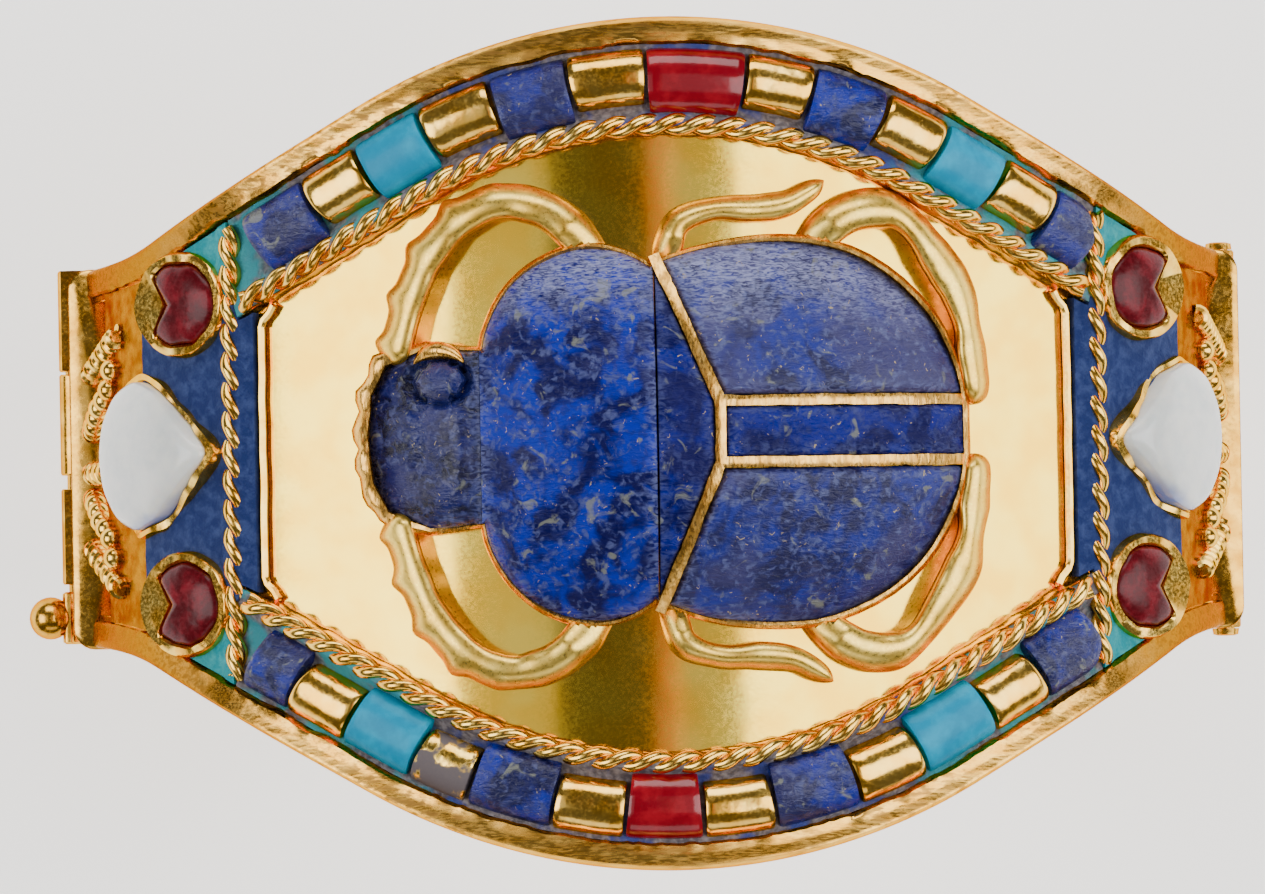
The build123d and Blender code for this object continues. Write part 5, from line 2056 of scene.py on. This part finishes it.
                bezel[n].append(self.plate.drop(seat.point(r * ca, r * sa, 5), down, h))
        draft = Draft()
        draft.dome(loops, seat.point(0, 0, self.mandrake_rise))
        node, finish = f"mandrake_{self.name}", self.palette["pale_stone"]
        draft.finish(node + "_stone", finish, Body.PLAQUE, Slot.PALE_STONE, [node], sharp=45)
        ring = Draft()
        ring.loft(bezel, closed=True)
        self.gild(ring, f"mandrake_bezel_{self.name}", "wire_gold")

    def wires(self) -> None:
        """Wire-wrapped stems and granules below the ornaments."""
        plate, side = self.plate, self.side
        draft = Draft()
        for (low, low_y), (high, high_y) in self.stems:
            a = Vector((HOOP_X + side * (plate.reach_x(low) + 0.25), low_y, plate.hinge_z + low))
            b = Vector((HOOP_X + side * (plate.reach_x(high) + 0.25), high_y, plate.hinge_z + high))
            along = (b - a).normalized()
            across = along.orthogonal().normalized()
            other = along.cross(across)
            length = (b - a).length
            draft.wire([a, (a + b) / 2, b], lambda share: self.stem_radius, 10)
            steps = round(length / self.coil_pitch * 14)
            coil = []
            for k in range(steps + 1):
                turn = 2 * pi * length * k / steps / self.coil_pitch
                spoke = (across * cos(turn) + other * sin(turn)) * self.coil_radius
                coil.append(a + along * (length * k / steps) + spoke)
            draft.wire(coil, lambda share: self.coil_wire)
        for high, y in self.granules:
            for way, shift in ((1, 0.0), (-1, self.granule_shift)):
                size = self.granule_radius + wander(high, way + side, 0.04, 1.0)
                x = HOOP_X + side * (plate.reach_x(high) + 0.22)
                draft.ball(Vector((x, way * (y + shift), plate.hinge_z + high)), size, sides=16)
        self.gild(draft, f"stems_and_granules_{self.name}", "wire_gold")


# Back half and pins


@dataclass
class BackBand(Assembly):
    """The plain gold back half with its collars and knuckles."""

    side_radius: float = 23.9
    under_radius: float = 44.0
    foot: float = 5.0
    half_height: float = 9.5
    wall: float = 1.2
    edge: float = 0.3

    def build(self) -> None:
        """Builds and dresses the back half."""
        hinge_z = self.plate.hinge_z
        side_x = self.plate.half_width - self.side_radius
        under = asin((side_x - self.foot) / (self.under_radius - self.side_radius))
        half: list[Section] = []
        start = asin(Fittings.leaf_gap / self.side_radius)
        for k in range(37):
            angle = start + (pi / 2 - under - start) * k / 36
            x, z = side_x + self.side_radius * cos(angle), hinge_z - self.side_radius * sin(angle)
            half.append((x, z, angle))
        for k in range(1, 6):
            angle = pi / 2 - under + under * k / 5
            x, z = self.foot + self.under_radius * cos(angle), self.under_radius * (1 - sin(angle))
            half.append((x, z, angle))
        half.append((0.0, 0.0, pi / 2))
        path = [(-x, z, pi - angle) for x, z, angle in half] + half[-2::-1]
        top, wall, edge = self.half_height, self.wall, self.edge
        soft = edge * 0.3
        upper = [
            (0, top - edge), (soft, top - soft), (edge, top), (wall - edge, top), (wall - soft, top - soft),
            (wall, top - edge),
        ]
        lower = [(depth, -y) for depth, y in reversed(upper)]
        profile = lower[-1:] + upper + lower[:-1]
        loops = []
        for x, z, angle in path:
            inward = Vector((-cos(angle), 0, sin(angle)))
            loops.append([Vector((HOOP_X + x, y, z)) + inward * depth for depth, y in profile])
        draft = Draft()
        draft.loft(loops)
        draft.finish("back_shell", self.palette["band_gold"], Body.BAND, Slot.GOLD, ["back_band"])
        fittings = Draft()
        for side in (1, -1):
            Fittings.collar(fittings, hinge_z - Fittings.leaf_gap - Fittings.collar_height, side)
        for x, low, high in Fittings.back_knuckles():
            Fittings.knuckle(fittings, hinge_z, x, low, high, -1)
        fittings.finish("back_collars", self.palette["collar_gold"], Body.BAND, Slot.GOLD)


@dataclass
class Pins(Assembly):
    """The hinge pin and the sliding clasp pin with its ribbed head and knob."""

    radius: float = 0.5
    rivet_radius: float = 0.75
    clasp_tip: float = 10.0
    head_top: float = -7.29
    head_length: float = 2.9
    head_radius: float = 0.88
    knob_x: float = -1.55
    knob_radius: float = 1.18

    def build(self) -> None:
        """Builds and dresses both pins."""
        z = self.plate.hinge_z
        pin = Draft()
        end = Fittings.collar_length / 2
        half = ((0.05, self.radius), (0.05, self.rivet_radius), (0.38, 0.7), (0.45, 0.45))
        stations = [(-end - out, size) for out, size in reversed(half)]
        stations += [(end + out, size) for out, size in half]
        pin.barrel(Fittings.hinge_x, z, stations, 0)
        pin.finish("hinge_pin_rod", self.palette["collar_gold"], Body.BAND, Slot.GOLD, ["hinge_pin"])
        clasp = Draft()
        x = Fittings.clasp_x
        rod = [(self.head_top - 0.2, self.radius), (self.clasp_tip - 0.2, self.radius), (self.clasp_tip, 0.3)]
        clasp.barrel(x, z, rod, 0)
        low = self.head_top - self.head_length
        loops = []
        for y, size in ((low, 0.8), (low + 0.12, 1.0), (self.head_top - 0.12, 1.0), (self.head_top, 0.8)):
            loop = []
            for k in range(60):
                angle = 2 * pi * k / 60
                r = self.head_radius * size - 0.08 * (1 - cos(10 * angle))
                loop.append(Vector((HOOP_X + x + r * cos(angle), y, z + r * sin(angle))))
            loops.append(loop)
        clasp.loft(loops)
        knob = Vector((HOOP_X + x + self.knob_x, (low + self.head_top) / 2, z))
        clasp.ball(knob, self.knob_radius, sides=28)
        clasp.finish("clasp_pin_rod", self.palette["collar_gold"], Body.CLASP, Slot.GOLD, ["clasp_pin"])


# Studio


@dataclass
class Studio:
    """Floor, light and the camera of the photograph's angle. Floor and boxes are in metres."""

    plate: Plate
    lens: float = 207.2
    distance: float = 380.0
    camera_spot: Spot = (-12.07, -5.17)
    target_spot: Spot = (-1.96, -0.16)
    roll: float = radians(1.09)
    box_distance: float = 0.5
    aim_height: float = 0.045
    floor_reach: float = 3.0
    floor_glow: float = 1.1
    air_light: float = 0.11

    def build(self) -> None:
        """Sets up the studio."""
        self.floor()
        self.lights()
        self.camera()

    def floor(self) -> None:
        """A plain pale floor."""
        graph = Graph("pale_floor")
        cloud = graph.grain(graph.place(), 0.01, 2.0)
        graph.set("Base Color", graph.tint(cloud, (0.9, 0.9, 0.9), (0.94, 0.94, 0.94)))
        graph.set("Roughness", 0.9)
        graph.set("Emission Color", (1.0, 1.0, 1.0))
        graph.set("Emission Strength", self.floor_glow)
        mesh = bpy.data.meshes.new("floor")
        far = self.floor_reach
        mesh.from_pydata([(-far, -far, 0), (far, -far, 0), (far, far, 0), (-far, far, 0)], [], [(0, 1, 2, 3)])
        mesh.materials.append(graph.material)
        floor = bpy.data.objects.new("floor", mesh)
        bpy.context.scene.collection.objects.link(floor)

    def lights(self) -> None:
        """Large soft boxes on both sides, with a gap over the middle."""
        world = bpy.data.worlds.new("studio")
        world.use_nodes = True
        background = world.node_tree.nodes["Background"]
        background.inputs["Color"].default_value = (1.0, 0.97, 0.93, 1.0)
        background.inputs["Strength"].default_value = self.air_light
        bpy.context.scene.world = world
        white, amber = (1.0, 1.0, 1.0), (1.0, 0.33, 0.22)
        boxes = (
            ("left_box", (-1, 0), 53.0, 0.306, 0.32, 4.6, white),
            ("left_fill", (-1, 0), 27.0, 0.158, 0.32, 0.6, white),
            ("right_box", (1, 0), 46.0, 0.625, 0.32, 4.2, white),
            ("right_fill", (1, 0), 8.0, 0.105, 0.32, 0.45, white),
            ("amber_strip", (1, 0), 1.1, 0.04, 0.3, 0.6, amber),
            ("back_box", (0, 1), 57.0, 0.22, 0.5, 4.4, white),
            ("front_box", (0, -1), 60.0, 0.16, 0.5, 1.4, white),
        )
        aim = Vector((0, 0, self.aim_height))
        for name, way, tilt, height, width, radiance, colour in boxes:
            light = bpy.data.lights.new(name, "AREA")
            light.color = colour
            light.shape = "RECTANGLE"
            light.size, light.size_y = width, height
            light.energy = radiance * pi * width * height
            lean = radians(tilt)
            lamp = bpy.data.objects.new(name, light)
            out = Vector((way[0] * sin(lean), way[1] * sin(lean), cos(lean)))
            lamp.location = aim + out * self.box_distance
            lamp.rotation_euler = (aim - lamp.location).to_track_quat("-Z", "Y").to_euler()
            bpy.context.scene.collection.objects.link(lamp)

    def camera(self) -> None:
        """The camera, looking down on the scarab."""
        lens = bpy.data.cameras.new("camera")
        lens.lens = self.lens
        lens.sensor_width = 36.0
        lens.clip_start, lens.clip_end = 0.01, 100.0
        crown = self.plate.crown_z
        (x, y), (target_x, target_y) = self.camera_spot, self.target_spot
        place = Vector((HOOP_X + x, y, crown + self.distance)) * MILLIMETRE
        target = Vector((HOOP_X + target_x, target_y, crown)) * MILLIMETRE
        back = (place - target).normalized()
        up = Vector((sin(self.roll), cos(self.roll), 0))
        right = up.cross(back).normalized()
        turn = Matrix((right, back.cross(right), back)).transposed()
        camera = bpy.data.objects.new("camera", lens)
        camera.matrix_world = Matrix.Translation(place) @ turn.to_4x4()
        bpy.context.scene.collection.objects.link(camera)
        bpy.context.scene.camera = camera


def main() -> None:
    """Builds the bracelet round its frame, sub-assembly by sub-assembly."""
    logging.basicConfig(level=logging.INFO, format="%(message)s")
    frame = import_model()
    LOG.info("frame of %d nodes", len(frame["nodes"]))
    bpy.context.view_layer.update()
    plate = Plate()
    palette = {finish.name: finish.dress() for finish in FINISHES}
    assemblies = [
        BackBand(plate, palette), Pins(plate, palette), Mount(plate, palette), Border(plate, palette),
        EndOrnaments(plate, palette, -1, "left"), EndOrnaments(plate, palette, 1, "right"),
        Scarab(plate, palette), Studio(plate),
    ]
    for assembly in assemblies:
        assembly.build()
        LOG.info("built %s", type(assembly).__name__)
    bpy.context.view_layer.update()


if __name__ == "__main__":
    main()
